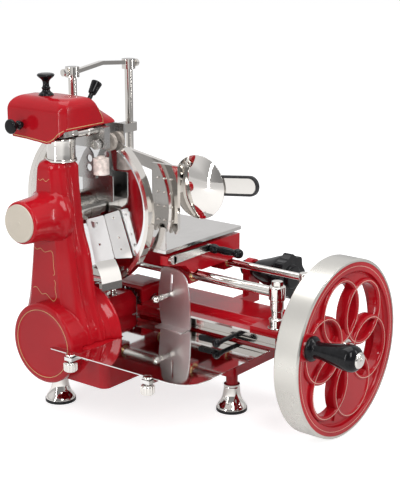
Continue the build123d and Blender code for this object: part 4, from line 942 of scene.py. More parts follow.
# ------------------------------------------------------------------------- flywheel and crank
@dataclass
class Flywheel(Assembly):
    """Red wheel with six interlaced round loops, its rim, hub nut, crank pin and grip."""

    face: float = -454
    width: float = 45
    loop_centre: float = 72.05
    loop_radius: float = 52.7
    rib_half: float = 4.3
    loop_start: float = 47
    open_loops: tuple[int, ...] = (0, 1, 3, 5)
    plate_depth: float = 6.5
    plate_back: float = 21
    crank_radius: float = 122
    crank_angle: float = 163

    def spot(self, u: float, v: float, depth: float) -> Point:
        """Machine point of a place on the wheel's face, at a depth behind the band's front edge."""
        return (WHEEL_X + u, self.face + depth, SHAFT_HEIGHT + v)

    def centre(self, index: int) -> Flat:
        """Centre of one loop."""
        return polar(self.loop_centre, self.loop_start + 60 * index)

    def petal(self, index: int, radius: float, neighbour: float, hub: float = 31) -> list[Flat]:
        """Outline of what one loop leaves between its neighbours and the hub.

        Args:
            index: Which loop.
            radius: Radius of the loop's own circle.
            neighbour: Radius that the neighbouring loops take up.
            hub: Radius that the hub takes up.

        Returns:
            The outline's points.
        """
        middle = Vector(polar(78, self.loop_start + 60 * index))
        own = Vector(self.centre(index))
        others = [(Vector(self.centre(index - 1)), neighbour), (Vector(self.centre(index + 1)), neighbour),
                  (Vector((0, 0)), hub)]
        points = []
        for step in range(72):
            ray = Vector(polar(1, 5 * step))
            towards = middle - own
            half = ray.dot(towards)
            reach = -half + math.sqrt(half * half - towards.length_squared + radius * radius)
            for spot, size in others:
                towards = middle - spot
                half = ray.dot(towards)
                inside = half * half - towards.length_squared + size * size
                if inside > 0 and -half - math.sqrt(inside) > 0:
                    reach = min(reach, -half - math.sqrt(inside))
            points.append(tuple(middle + ray * reach))
        return points

    def lens(self, index: int, radius: float) -> list[Flat]:
        """Outline of the almond where two neighbouring loops overlap.

        Args:
            index: The first of the two loops.
            radius: Radius of both circles.

        Returns:
            The outline's points.
        """
        first, second = Vector(self.centre(index)), Vector(self.centre(index + 1))
        along = math.degrees(math.atan2((second - first).y, (second - first).x))
        half = math.degrees(math.acos((second - first).length / 2 / radius))
        return (disc_points(tuple(first), radius, 24, along - half, 2 * half)
                + disc_points(tuple(second), radius, 24, along + 180 - half, 2 * half)[1:-1])

    def build(self) -> None:
        """Build the wheel's red casting, its lines, fittings and the crank."""
        self.build_web()
        self.build_lines()
        self.build_fittings()
        self.build_grip()

    def build_web(self) -> None:
        """Cast the red web: stepped rim, plate with four open petals, loops, almonds, pad and hub."""
        web = Shape()
        rim = [(147, 0.9), (146.2, 0.6), (133.5, 0.6), (132, 1.4), (131, 4), (130, 5.6), (128.5, 6.6),
               (126, 7.5), (126, self.plate_back), (129, self.plate_back), (132.5, 24), (135, 43),
               (147, 44)]
        web.turned(eased(rim + [rim[0]], 2), Axis.Y, self.face, (WHEEL_X, SHAFT_HEIGHT), 160)
        holes = [self.petal(index, self.loop_radius - 2, self.loop_radius + 2) for index in self.open_loops]
        holes += [self.lens(index, self.loop_radius - 2) for index in range(6)]
        web.plate(disc_points((0, 0), 127.6, 160), holes, self.spot, self.plate_depth, self.plate_back - 1)
        for index in range(6):
            web.plate(self.lens(index, self.loop_radius - 1), [], self.spot, 12.5, self.plate_back - 3)
            half = self.rib_half
            section = [(-half, 20.5), (-half, 5), (-half * 0.86, 2.9), (-half * 0.5, 1.5), (0, 1),
                       (half * 0.5, 1.5), (half * 0.86, 2.9), (half, 5), (half, 20.5)]
            own = self.centre(index)
            rings = []
            for u, v in disc_points((0, 0), 1, 112):
                reaches = [(self.loop_radius + across, depth) for across, depth in section]
                rings.append([self.spot(own[0] + u * reach, own[1] + v * reach, depth)
                              for reach, depth in reaches])
            web.rings(rings, closed=True)
        web.plate(self.petal(4, self.loop_radius, self.loop_radius), [], self.spot, 3.2,
                  self.plate_back - 2)
        crest = disc_points((0, 0), 122, 40, self.loop_start + 240 - 32, 64)
        crest += disc_points((0, 0), 84, 40, self.loop_start + 240 + 32, -64)
        web.plate(crest, [], self.spot, 3.4, self.plate_back - 2.5)
        hub = [(0, 3.2), (22, 3.2), (26, 3.6), (30, 5), (36, self.plate_depth + 0.3), (36, 20), (30, 23),
               (28, 43), (26, 45), (0, 45)]
        web.turned(eased(hub, 3), Axis.Y, self.face, (WHEEL_X, SHAFT_HEIGHT), 64)
        web.piece("wheel_web", ENAMEL, "flywheel", "red_enamel", ("flywheel_web",), sharp=38)
        pad = Shape()
        out = Vector(polar(1, self.crank_angle))
        across = Vector((-out.y, out.x))
        corners = [(-24, -19), (-20, -23), (18, -23), (23, -19), (24.6, 0), (23, 19), (18, 23), (-20, 23),
                   (-24, 19)]
        outline = [tuple(out * (self.crank_radius + along) + across * side) for along, side in corners]
        pad.plate(outline, [], self.spot, -0.2, self.plate_back + 2)
        pad.piece("crank_pad", ENAMEL, "flywheel", "red_enamel", soft=2.4)

    def build_lines(self) -> None:
        """Paint the fine pale lines on the rim and along the loops."""
        lines = Shape()
        section = brush_line(1.1)
        rounds = [((0, 0), 139.6, 0.6)] + [(self.centre(index), self.loop_radius, 1) for index in range(6)]
        for own, radius, depth in rounds:
            path = [self.spot(u, v, depth) for u, v in disc_points(own, radius, 144)]
            lines.sweep(path, section, closed=True, up=(0, -1, 0))
        lines.piece("wheel_lines", PALE_LINE, "flywheel", "red_enamel")

    def build_fittings(self) -> None:
        """Turn the domed hub nut, the collar behind the wheel, the crank pin, its washer and end cap."""
        at = (WHEEL_X, SHAFT_HEIGHT)
        nut = Shape()
        nut.turned(eased([(18, 1.5), (18, 1.5), (18, -0.5), (17, -1.5), (13.6, -2), (13.2, -3.5), (13, -8),
                          (10.5, -13), (6, -16.2), (0, -17.2)], 4), Axis.Y, self.face + 4, at, 48)
        nut.rod(16, 51.5, Axis.Y, self.face + self.width, at, 48)
        pin_at = self.pin_at()
        nut.turned([(0, 0), (17.5, 0), (18.4, 0.8), (18.4, 2), (17.5, 2.9), (0, 2.9)], Axis.Y,
                   self.face - 2.5, pin_at, 56)
        nut.rod(6, 120, Axis.Y, self.face - 91, pin_at, 32)
        cap = [(0, -4.6), (3.6, -4.6), (4.4, -3.4), (9.5, -2.9), (12, -1.6), (12.6, 0.4), (12.6, 0.4),
               (12, 0.6), (0, 0.6)]
        nut.turned(eased(cap, 3), Axis.Y, self.face - 91.2, pin_at, 48)
        nut.piece("wheel_fittings", MIRROR, "flywheel", "polished_nickel", ("flywheel_fittings",), sharp=30)

    def pin_at(self) -> Flat:
        """Place of the crank pin's axis."""
        u, v = polar(self.crank_radius, self.crank_angle)
        return (WHEEL_X + u, SHAFT_HEIGHT + v)

    def build_grip(self) -> None:
        """Turn the tapered grip."""
        grip = Shape()
        profile = [(6.6, 0), (6.6, 0), (19.2, 0), (20.4, 1.2), (20.7, 3.2), (20.2, 5.4), (18, 7.6),
                   (14.8, 9.4), (13.8, 12.6), (14, 20), (15.8, 34), (18.2, 48), (20.6, 61), (21.7, 70),
                   (21.3, 77), (19, 82.6), (15, 86.2), (12, 87.6), (6.6, 87.9), (6.6, 87.9)]
        near = self.face - 2.8
        grip.turned([(radius, -along) for radius, along in eased(profile, 4)], Axis.Y, near, self.pin_at(),
                    72)
        grip.piece("crank_handle", BLACK, "crank_grip", "black_knob", ("crank_grip",))


# ----------------------------------------------------------------------- column and its castings
@dataclass
class Column(Assembly):
    """Sculpted gear column with its flared gear case, hub, round cap, neck and painted frame lines."""

    left: float = -117
    right: float = -62
    case_centre: Flat = (-8, -217)
    cap_depth: float = 25
    levels: tuple[tuple, ...] = (
        (94.5, 14, (-14, 17), (-26, 25), (-28, 26)),
        (93.5, 9, (-14, 17), (-26, 25), (-28, 26)),
        (90, 4, (-14, 17), (-26, 25), (-28, 26)),
        (84, 1, (-14, 17), (-26, 25), (-28, 26)),
        (74, 0, (-14, 17.5), (-26, 25.5), (-28, 26)),
        (36, 0, (-17, 21), (-31, 32), (-30, 30)),
        (-24, 0, (-21, 27), (-36, 38), (-37, 36)),
        (-66, 0, (-25, 32), (-42, 42), (-50, 42)),
        (-110, 0, (-27, 38), (-48, 48), (-56, 48)),
        (-150, 0, (-33, 43), (-56, 56), (-62, 54)),
        (-185, 0, (-48, 52), (-68, 66), (-72, 63)),
        (-216.5, 0, (-62, 58), (-76, 71), (-80, 68)))

    def ring(self, level: float, inset: float, left: Flat, middle: Flat, right: Flat) -> list[Point]:
        """One cross-section of the column, with a flute and a rib on its front.

        Args:
            level: Its height.
            inset: How much smaller it is all round.
            left: Front and back of the left edge.
            middle: Front and back where the cover meets the body.
            right: Front and back of the right edge.

        Returns:
            The section's points.
        """
        x0, x1 = self.left + inset, self.right - inset
        width = x1 - x0
        edge = 2
        front = [(x0, left[0] + inset + edge), (x0 + 0.6, left[0] + inset + 0.6),
                 (x0 + edge, left[0] + inset),
                 (x0 + width * 0.12, middle[0] * 0.5 + left[0] * 0.5 + inset + 2.4),
                 (x0 + width * 0.22, middle[0] + inset + 1.6), (x0 + width * 0.34, middle[0] + inset - 1.4),
                 (x0 + width * 0.44, middle[0] + inset - 2.4), (x0 + width * 0.52, middle[0] + inset - 0.4),
                 (x0 + width * 0.60, (middle[0] + right[0]) / 2 + inset + 2),
                 (x0 + width * 0.72, (middle[0] + right[0]) / 2 + inset + 1.4),
                 (x0 + width * 0.84, right[0] + inset - 0.6), (x0 + width * 0.92, right[0] + inset - 1.2),
                 (x1 - 1.4, right[0] + inset + 0.2), (x1 - 0.2, right[0] + inset + 2)]
        back = [(x1, right[1] - inset - 5), (x1 - 1.5, right[1] - inset - 1.5), (x1 - 5, right[1] - inset),
                (x0 + width * 0.5, (middle[1] + right[1]) / 2 - inset),
                (x0 + width * 0.25, middle[1] - inset),
                (x0 + width * 0.1, (middle[1] + left[1]) / 2 - inset), (x0 + edge, left[1] - inset),
                (x0 + 0.6, left[1] - inset - 0.6), (x0, left[1] - inset - edge)]
        around = front + back
        return [(x, y, level) for x, y in eased(around, 3)[:-1]] + [(*around[-1], level)]

    def build(self) -> None:
        """Cast the column with its case, then its cap, hub, disc, neck and lines."""
        self.build_casting()
        self.build_cap()
        self.build_hub()
        self.build_neck()
        self.build_lines()

    def build_casting(self) -> None:
        """Cast the fluted column and the flared case in one, with soft roots where they meet."""
        rows = [self.ring(*level) for level in self.levels]
        columns = [eased([ring[index] for ring in rows], 6) for index in range(len(rows[0]))]
        column = Shape().rings([[column[step] for column in columns] for step in range(len(columns[0]))])
        length = -35 - self.left
        flare = [(0, 0), (66.5, 0), (67, 1.5), (67.5, 22), (68.5, 40), (71.5, 54), (77, 66), (83.5, 74.5),
                 (87.6, 78.6), (88.3, 80.2), (88, 81.6), (86, length), (0, length)]
        centre_y, centre_z = self.case_centre
        half = []
        for step in range(49):
            turn = math.radians(180 * step / 48)
            half.append([Axis.X.spot(self.left, (centre_y, centre_z + 0.5), radius, along, turn)
                         for radius, along in flare])
        case = Shape().rings(half)
        meshes = []
        for shape in (column, case):
            bmesh.ops.recalc_face_normals(shape.bm, faces=shape.bm.faces)
            mesh = bpy.data.meshes.new("mould")
            shape.bm.to_mesh(mesh)
            shape.bm.free()
            mesh.transform(TO_FRAME)
            meshes.append(mesh)
        cast("column_casting", meshes, ENAMEL, "frame", ("gear_column", "column_cover"),
             grain=1.3, rounds=5)

    def build_cap(self) -> None:
        """Turn the round cap at the foot, with its dished face and painted ring."""
        cap = Shape()
        profile = [(0, 1.2), (52, 1), (58, 0.4), (61, 0), (66.5, 0.6), (69.2, 2.6), (70, 5.6), (70, 24.5),
                   (70, 25), (66.5, 25), (66.5, 25), (66, 10), (57, 5.2), (0, 5.2)]
        cap.turned(eased(profile, 3), Axis.X, self.left - self.cap_depth, self.case_centre, 128)
        cap.piece("round_cap", ENAMEL, "frame", "red_enamel", ("gear_cap",))
        line = Shape()
        path = [(self.left - self.cap_depth - 0.05, self.case_centre[0] + u, self.case_centre[1] + v)
                for u, v in disc_points((0, 0), 59.5, 128)]
        line.sweep(path, brush_line(1.1), closed=True, up=(-1, 0, 0))
        line.piece("cap_line", GOLD_LINE, "frame", "red_enamel")

    def build_hub(self) -> None:
        """Turn the tapered hub housing and the pale disc that closes it."""
        hub = Shape()
        profile = [(18.2, 0), (18.2, 0), (32.5, 0), (34.6, 0.8), (35.8, 2.4), (36.4, 6), (37.4, 22),
                   (38.6, 38), (40.6, 50), (44, 60), (49, 68), (49, 80), (49, 80), (18.2, 80)]
        hub.turned(eased(profile, 4), Axis.X, -176, (0, 0), 96)
        hub.piece("hub_casting", ENAMEL, "frame", "red_enamel", ("hub_housing",))
        disc = Shape()
        disc.turned(eased([(0, 0), (29, 0), (31.2, 0.6), (32, 1.8), (32, 3.4), (32, 3.4), (0, 3.4)], 3),
                    Axis.X, -179, (0, 0), 96)
        disc.turned([(0, -0.5), (3.4, -0.5), (4, 0.2), (0, 0.2)], Axis.X, -179, (0, 0), 24)
        disc.piece("hub_disc", CREAM, "frame", "pale_disc", ("hub_end_disc",))

    def build_neck(self) -> None:
        """Turn the polished neck that carries the sharpener."""
        neck = Shape()
        profile = [(12.2, 0), (12.2, 0), (25, 0), (25.8, 0.8), (25.8, 3.6), (25, 4.4), (24, 4.8), (24, 33),
                   (24.6, 33.6), (24.8, 36.8), (23.8, 38.6), (21, 40), (12.2, 40), (12.2, 40)]
        neck.turned(eased(profile, 3), Axis.Z, 92, (-82, -8), 80)
        neck.piece("neck_sleeve", MIRROR, "frame", "polished_nickel", ("sharpener_neck",), sharp=28)

    def build_lines(self) -> None:
        """Paint two plain open frames on the column's left panel, one above and one below."""
        lines = Shape()
        upper = [(-12, 66), (-4, 61), (2, 64.5), (9, 61), (13, 63)]
        lower = [(30, -56), (22, -60), (14, -57), (4, -62), (-9, -58), (-15, -62), (-16, -84), (-18, -96),
                 (-15, -100)]
        third = [(-16, -108), (-19, -112), (-18, -124), (-20, -138), (-12, -146), (4, -136), (14, -138),
                 (26, -128), (34, -130)]
        for path in (upper, lower, third):
            spots = [(self.left - 0.05, y, z) for y, z in eased(path, 5)]
            lines.sweep(spots, brush_line(1), up=(-1, 0, 0))
        lines.piece("column_lines", GOLD_LINE, "frame", "red_enamel")


# ------------------------------------------------------------------------------ the sharpener
@dataclass
class Sharpener(Assembly):
    """Rounded red hood over the stones, its three knobs and the polished parts beneath it."""

    low: float = 148
    high: float = 198
    left: float = -113
    front: float = -46
    back: float = 86
    wall: float = 3.6
    skirt: tuple[Flat, ...] = ((84, -1), (79, -12), (72, -20), (45, -21), (20, -23), (-4, -25),
                               (-12, -23.6), (-20, -19), (-27, -13.5))
    face_right: tuple[Flat, ...] = ((148, -17), (159, -19), (179, -31), (198, -46))
    nose_right: tuple[Flat, ...] = ((148, 12), (151, 12), (156, 8.5), (162, 2), (170, -8.5), (179, -22),
                                    (198, -38))
    nose_front: tuple[Flat, ...] = ((148, 0), (152, 1.5), (158, 7), (166, 14), (174, 18), (182, 12),
                                    (198, 6))

    @staticmethod
    def read(table: Sequence[Flat], level: float) -> float:
        """Value of a table at a level, straight between its rows."""
        for (low, first), (high, second) in zip(table, table[1:]):
            if level <= high:
                return first + (second - first) * (level - low) / (high - low)
        return table[-1][1]

    @staticmethod
    def rolled(level: float, top: float, radius: float) -> float:
        """How far a rounded top edge has moved in at a level."""
        above = max(level - (top - radius), 0)
        return radius - math.sqrt(max(radius * radius - above * above, 0))

    def ring(self, level: float, inner: float, hang: bool) -> list[Point]:
        """One level of the hood's skin.

        Args:
            level: Its height.
            inner: How far inside the outer skin it lies.
            hang: Whether the left wall hangs down to its skirt here.

        Returns:
            The ring's points.
        """
        seen = min(level + inner, self.high)
        left = self.left + inner + self.rolled(seen, self.high, 24)
        front = self.front + inner + self.rolled(seen, self.high, 15)
        back = self.back - inner - self.rolled(seen, self.high, 26)
        face = self.read(self.face_right, seen) - inner - self.rolled(seen, self.high, 9)
        nose = self.read(self.nose_right, seen) - inner - self.rolled(seen, self.high, 16)
        nose_y = front + self.read(self.nose_front, seen)
        start, end = Vector((left, back)), Vector((left, front + 15))
        corners = [tuple(start)]
        drops = [0]
        for y, drop in self.skirt:
            share = (self.back - y) / (self.back - self.front - 15)
            corners.append(tuple(start.lerp(end, share)))
            drops.append(drop if hang else 0)
        corners += [tuple(end), (left + 6, front), (face, front), (nose, nose_y), (nose + 0.5, 30),
                    (min(-28, nose - 12), 52), (min(-34, nose - 16), back)]
        drops += [-11 if hang else 0, -1 if hang else 0, 0, 0, 0, 0, 0]
        points = rounded(corners, 2.2, 2)
        return [(x, y, level + drops[index // 3]) for index, (x, y) in enumerate(points)]

    def build(self) -> None:
        """Cast the hood, then turn its knobs and the parts beneath it."""
        self.build_hood()
        self.build_line()
        self.build_knobs()
        self.build_arms()

    def build_hood(self) -> None:
        """Skin the hood inside and out."""
        levels = [149.2, 152, 156, 160, 165, 170, 174, 177, 180, 183, 186, 189, 191.5, 193.5, 195.2,
                  196.6, 197.5, 198]
        outside = [self.ring(level, 0, False) for level in levels]
        inside = [self.ring(level - self.wall, self.wall, False) for level in levels[3:]]
        edge = [self.ring(self.low + 0.6, self.wall, True), self.ring(self.low, self.wall - 0.8, True),
                self.ring(self.low, 0.6, True), self.ring(self.low + 0.8, 0, True)]
        hood = Shape().rings(list(reversed(inside)) + edge + outside)
        hood.piece("hood", ENAMEL, "sharpener", "red_enamel", ("sharpener_hood",), sharp=34)

    def build_line(self) -> None:
        """Paint the gold line along the hood's lower edge and up the edge of its front."""
        line = Shape()
        low = self.low
        side = [(self.left - 0.1, y, low + drop + 3.4) for y, drop in self.skirt[2:]]
        path = side + [(self.left - 0.1, -31, low - 6), (self.left + 3, -38.8, low - 1),
                       (self.left + 6.5, self.front - 0.1, low + 3.2), (-18, self.front - 0.1, low + 3.2)]
        line.sweep(path, brush_line(1.3), up=(-0.7, -0.7, 0))
        line.sweep([(-19, self.front - 0.1, low + 4), (-19.6, self.front - 0.1, 159),
                    (-30, self.front - 0.1, 177.5)],
                   brush_line(0.9), up=(0, -1, 0))
        line.piece("hood_line", GOLD_LINE, "sharpener", "red_enamel")

    def build_knobs(self) -> None:
        """Turn the three black knobs."""
        tall = Shape()
        waist = [(0, 0), (12, 0), (12.6, 1), (11.4, 3.2), (8, 6), (6.4, 9), (7.6, 11.5), (7.6, 12.5),
                 (5.8, 15), (5.4, 20), (7, 25), (12.5, 30), (14.5, 32.4), (14.5, 34.4), (11, 36.4), (0, 37)]
        tall.turned(eased(waist, 4), Axis.Z, self.high, (-79, 26), 56)
        tall.piece("top_knob", BLACK, "hood_knob", "black_knob", ("hood_knob",))
        side = Shape()
        profile = [(0, 29), (9, 29), (12, 27.4), (12.5, 25), (11.6, 22.6), (7.4, 19), (5.6, 15),
                   (5.6, 11.5), (7.6, 9), (8, 7), (7.2, 5.2), (5, 4.2), (5, 0), (0, 0)]
        side.turned([(radius, -along) for radius, along in eased(profile, 4)], Axis.X, self.left, (52, 150),
                    56)
        side.piece("left_knob", BLACK, "side_knob", "black_knob", ("side_knob",))
        cone = Shape()
        profile = [(0, -13), (4, -13), (4, -13), (4, 9), (5.2, 10.4), (6.9, 12.4), (8.4, 24), (9.4, 31),
                   (9.2, 32.6), (8.2, 33.4), (7.2, 33), (6.6, 31.6), (0, 31.4)]
        cone.turned(eased(profile, 3), Axis.Z, 0, (0, 0), 48)
        lean = Matrix.Rotation(math.atan(14 / 18), 4, "Y")
        cone.bm.transform(Matrix.Translation((-24, -20, 188.67)) @ lean)
        cone.piece("press_knob", BLACK, "cone_knob", "black_knob", ("cone_knob",))

    def build_arms(self) -> None:
        """Turn the rod under the hood, the knurled knob, the pale stone cup and the arm with two holes."""
        arms = Shape()
        arms.turned(eased([(0, 0), (6.4, 0), (7, 0.8), (7, 24), (7, 24), (8.6, 24.6), (8.6, 34), (7, 34.6),
                           (7, 34.6), (7, 66), (6, 67), (0, 67)], 2), Axis.X, -76, (-37, 139.5), 48)
        arms.rod(5, 22, Axis.X, -36, (-50, 117), 32)
        arms.piece("stone_rods", MIRROR, "sharpener", "ground_steel")
        knurl = Shape()
        points = [(radius * math.cos(math.radians(4.5 * step)), radius * math.sin(math.radians(4.5 * step)))
                  for step in range(80) for radius in ((8.4 if step % 2 else 7.7),)]
        knurl.plate([(-50 + u, 117 + v) for u, v in points], [], from_side, -46, -36)
        knurl.piece("knurled_knob", SATIN_NICKEL, "grinding_stone", "grinding_stone", soft=0.6)
        cup = Shape()
        cup.turned(eased([(0, 0), (12.6, 0), (13.4, 0.8), (13.4, 24), (12.6, 26), (8, 27), (6, 30),
                          (0, 30)], 3), Axis.Z, 66, (-30, -50), 48)
        cup.piece("stone_cup", CUP, "sharpener", "grinding_stone")
        arm = Shape()
        outline = rounded([(-13, 108), (-24, 96), (-30, 62), (-30, 52), (18, 52), (16, 62), (-4, 98)], 3)
        holes = [disc_points((y, z), 6.4, 28) for y, z in ((-16.5, 87), (-15, 71))]
        arm.plate(outline, holes, from_side, -23, -20)
        arm.plate(rounded([(-66, 62), (-66, 16), (4, 16), (4, 62)], 4), [], from_side, -19.6, -17.4)
        arm.piece("ring_arm", DARK_STEEL, "frame", "polished_nickel", soft=0.5)


# ---------------------------------------------------------------------------- guide and table
@dataclass
class Guides(Assembly):
    """Bright plates that stand between the blade and the rods, with their cross pin and stud."""

    plate_x: float = 58
    thick: float = 3

    def build(self) -> None:
        """Cut the plates, then turn the pin and the stud."""
        plates = Shape()
        outline = [(-172, -214), (-106, -214), (-103, -200), (-99, -158), (-106, -112), (-112, -106.5),
                   (-136, -106.5), (-150, -110), (-163, -122), (-168, -150)]
        slot = rounded(oblong(-132, -150, -127.5, -116), 1.6)
        plates.plate(rounded(outline, 7), [slot, disc_points((-120, -158), 3.9, 24)], from_side,
                     self.plate_x,
                     self.plate_x + self.thick)
        plates.plate(rounded([(38.2, -168), (38.2, -106), (61, -106), (61, -168)], 3), [], from_above,
                     -213.9, -212.2)
        plates.piece("guide", GUIDE_METAL, "frame", "polished_nickel", ("guide_plate",), soft=0.5)
        pin = Shape()
        for x in (26, 72):
            pin.turned(eased([(0, -6.5), (3.6, -5.4), (5.9, -2.6), (6.5, 0), (5.9, 2.6), (3.6, 5.4),
                              (0, 6.5)], 3),
                       Axis.X, x, (-120, -158), 32)
        pin.turned(eased([(0, 0), (3.8, 0), (3.8, 0), (3.8, 12), (5.4, 12.4), (5.4, 18), (3.8, 18.4),
                          (3.8, 46), (3.8, 46), (0, 46)], 2), Axis.X, 26, (-120, -158), 32)
        stud = [(0, 0), (9, 0), (9.6, 1), (9, 3), (6, 4), (5, 8), (9.6, 9.4), (11, 10.4), (11, 13.4),
                (9.6, 14.4), (7, 15), (7, 25), (6, 27.4), (4, 28), (0, 28)]
        pin.turned(eased(stud, 3), Axis.Z, -176, (44, -2), 40)
        pin.piece("pin_and_stud", MIRROR, "frame", "polished_nickel")


@dataclass
class FoodTable(Assembly):
    """Satin table plate with two rails under it, its lever and the hooked end plate."""

    left: float = 8
    right: float = 227
    front: float = -158
    back: float = 95
    top: float = -60
    thick: float = 6

    def build(self) -> None:
        """Press the plate, the two rails under it and its end plate, then make the lever and turn its
        handle.
        """
        plate = Shape()
        corners = [(self.left, self.front), (self.right, self.front), (self.right, self.back),
                   (self.left, self.back)]
        holes = [disc_points((x, 75), 7, 24) for x in (36, 186)]
        plate.plate(rounded(corners, 5), holes, from_above, self.top - self.thick, self.top)
        for y in (-112, 34):
            rail = oblong(82, y - 6, 216, y + 6)
            plate.plate(rail, [], from_above, self.top - self.thick - 5.9, self.top - self.thick + 0.5)
        end = [(-158, -59.5), (-104, -59.5), (-104, -36), (-108, -29), (-113, -26.2), (-118, -29),
               (-124, -38.5), (-131, -40.5), (-137, -38), (-146, -21.5), (-151, -20), (-158, -20)]
        plate.plate(rounded(end, 2.5), [], from_side, self.left, self.left + 2.5)
        plate.piece("table_plate", TABLE_METAL, "table", "polished_aluminium", ("product_table",), soft=0.7)
        lever = Shape()
        lever.plate(rounded([(22, -86), (122, -84), (122, -72), (22, -70)], 3), [], from_front, -165, -159)
        lever.rod(7.9, 6, Axis.Y, -165, (22, -78), 40)
        lever.rod(7.4, 6, Axis.Y, -165, (122, -78), 40)
        lever.rod(3.9, 9, Axis.Y, -159, (22, -78), 24)
        lever.piece("lever_arm", SATIN_NICKEL, "table_lever", "polished_nickel", ("table_lever",), soft=0.8)
        grip = Shape()
        profile = [(0, 0), (5, 0), (6, 2), (8.2, 5), (8.5, 9), (8.2, 13), (6.6, 17), (6, 20), (6.8, 28),
                   (6.9, 36), (6.2, 46), (5.8, 52), (7.4, 56), (8.5, 60), (8.2, 64.5), (6, 68.6), (0, 70)]
        grip.turned([(radius, -along) for radius, along in eased(profile, 3)], Axis.Y, -165, (122, -78), 48)
        grip.piece("lever_grip", BLACK, "table_lever", "black_knob", ("table_lever_handle",))


@dataclass
class HandGuard(Assembly):
    """Mirror disc in front of the hand, with the long paddle and its black rim."""

    centre: Point = (44, -200, 50)
    radius: float = 54
    bulge: float = 12

    def build(self) -> None:
        """Spin the disc, then cut the paddle and bend its rim."""
        disc = Shape()
        profile = [(self.radius * share, self.bulge * share * share - self.bulge) for share in
                   [step / 16 for step in range(17)]]
        inner = [(radius * 0.985, along + 2.4) for radius, along in reversed(profile)]
        disc.turned(profile + inner, Axis.X, self.centre[0], self.centre[1:], 96)
        disc.rod(5, 16, Axis.X, 35.6, (-170, 55), 24)
        disc.rod(8, 12, Axis.X, 34.4, (-204, 54), 32)
        middle, half, across = (-251.5, 59), 69, 17
        turn = math.radians(-6.5)

        def spot(u: float, v: float) -> Flat:
            """Place on the paddle, along and across it."""
            return (middle[0] + u * math.cos(turn) - v * math.sin(turn),
                    middle[1] + u * math.sin(turn) + v * math.cos(turn))

        def slot_outline(inset: float) -> list[Flat]:
            """Round-ended outline of the paddle, inset all round."""
            reach, size = half - across, across - inset
            ends = disc_points((reach, 0), size, 20, -90, 180) + disc_points((-reach, 0), size, 20, 90, 180)
            return [spot(u, v) for u, v in ends]

        disc.plate(slot_outline(3.8), [], from_side, 46.6, 50.4)
        disc.piece("guard_disc", MIRROR, "gripper", "polished_nickel", ("hand_guard",), sharp=50, soft=0.5)
        rim = Shape()
        path = [(48.3, y, z) for y, z in slot_outline(2.2)]
        rim.sweep(path, disc_points((0, 0), 2.2, 12), closed=True, up=(1, 0, 0))
        rim.sweep(path, [(-2, -3.3), (2, -3.3), (2.2, 0), (2, 3.2), (-2, 3.2), (-2.2, 0)], closed=True,
                  up=(1, 0, 0))
        rim.piece("paddle_edge", RUBBER, "gripper", "black_rim", ("paddle_rim",), soft=0.4)


# ----------------------------------------------------------------------- deflector and tray
@dataclass
class Deflector(Assembly):
    """Satin plates that lead the slice off the blade, with the polished curved lip below."""

    upper: tuple[Point, ...] = ((-50, -30.5, -13.5), (-30, -53.6, -5.8), (-2, -63.2, -1))
    lower: tuple[Point, ...] = ((-50, -49, -86), (-30, -77, -79), (-2, -93.1, -81))
    half: float = 1

    def sheet(self, shape: Shape, rows: Sequence[Sequence[Point]], half: float) -> None:
        """Add a thin sheet that follows rows of points.

        Args:
            shape: The shape that takes the sheet.
            rows: Rows of the same number of points.
            half: Half of its thickness.
        """
        grid = [[Vector(point) for point in row] for row in rows]
        faces = []
        for side in (-half, half):
            layer = []
            for i, row in enumerate(grid):
                line = []
                for j, point in enumerate(row):
                    along = grid[min(i + 1, len(grid) - 1)][j] - grid[max(i - 1, 0)][j]
                    across = row[min(j + 1, len(row) - 1)] - row[max(j - 1, 0)]
                    line.append(shape.bm.verts.new(point + along.cross(across).normalized() * side))
                layer.append(line)
            faces.append(layer)
        low, high = faces
        for i in range(len(grid) - 1):
            for j in range(len(grid[0]) - 1):
                for layer in faces:
                    shape.bm.faces.new((layer[i][j], layer[i + 1][j], layer[i + 1][j + 1], layer[i][j + 1]))
        for i in range(len(grid) - 1):
            for j in (0, len(grid[0]) - 1):
                shape.bm.faces.new((low[i][j], low[i + 1][j], high[i + 1][j], high[i][j]))
        for j in range(len(grid[0]) - 1):
            for i in (0, len(grid) - 1):
                shape.bm.faces.new((low[i][j], low[i][j + 1], high[i][j + 1], high[i][j]))

    def build(self) -> None:
        """Fold the two panels and the lip, and set the rivets in them."""
        plates = Shape()
        up, down = [Vector(point) for point in self.upper], [Vector(point) for point in self.lower]
        for first, second in ((0, 1), (1, 2)):
            inset = 0.012
            rows = []
            for share in (0, 0.03, 0.97, 1):
                pinch = 0.05 if share in (0, 1) else 0
                start, end = up[first].lerp(down[first], share), up[second].lerp(down[second], share)
                rows.append([tuple(start.lerp(end, part)) for part in (inset + pinch, 0.5,
                    1 - inset - pinch)])
            self.sheet(plates, rows, self.half)
        stay = [(-46, -26), (-28.5, -26), (-26, -16), (-46, -16)]
        plates.plate(stay, [], from_side, -46, -38)
        plates.piece("slice_panels", PANEL, "frame", "polished_nickel", ("slice_deflector",), sharp=30)
        dots = Shape()
        for first, second, across, along in ((0, 1, 0.5, 0.13), (0, 1, 0.42, 0.62), (1, 2, 0.5, 0.12),
                                             (1, 2, 0.5, 0.55),
                                             (1, 2, 0.45, 0.8)):
            spot = up[first].lerp(down[first], along).lerp(up[second].lerp(down[second], along), across)
            dots.turned([(0, -2), (2.2, -1.6), (2.6, 0), (0, 0.6)], Axis.X, spot.x, (spot.y - 0.4, spot.z),
                        16)
        dots.piece("panel_rivets", MIRROR, "frame", "polished_nickel")
        lip = Shape()
        rows = []
        for share in [step / 10 for step in range(11)]:
            drop = Vector((8 * share, -8 * share - 5 * math.sin(math.pi * share), -52 * share))
            rows.append([tuple(down[0] + drop), tuple(down[0].lerp(down[1], 0.5) + drop),
                         tuple(down[1] + drop)])
        self.sheet(lip, rows, self.half)
        lip.piece("slice_lip", MIRROR, "frame", "polished_nickel", sharp=60)


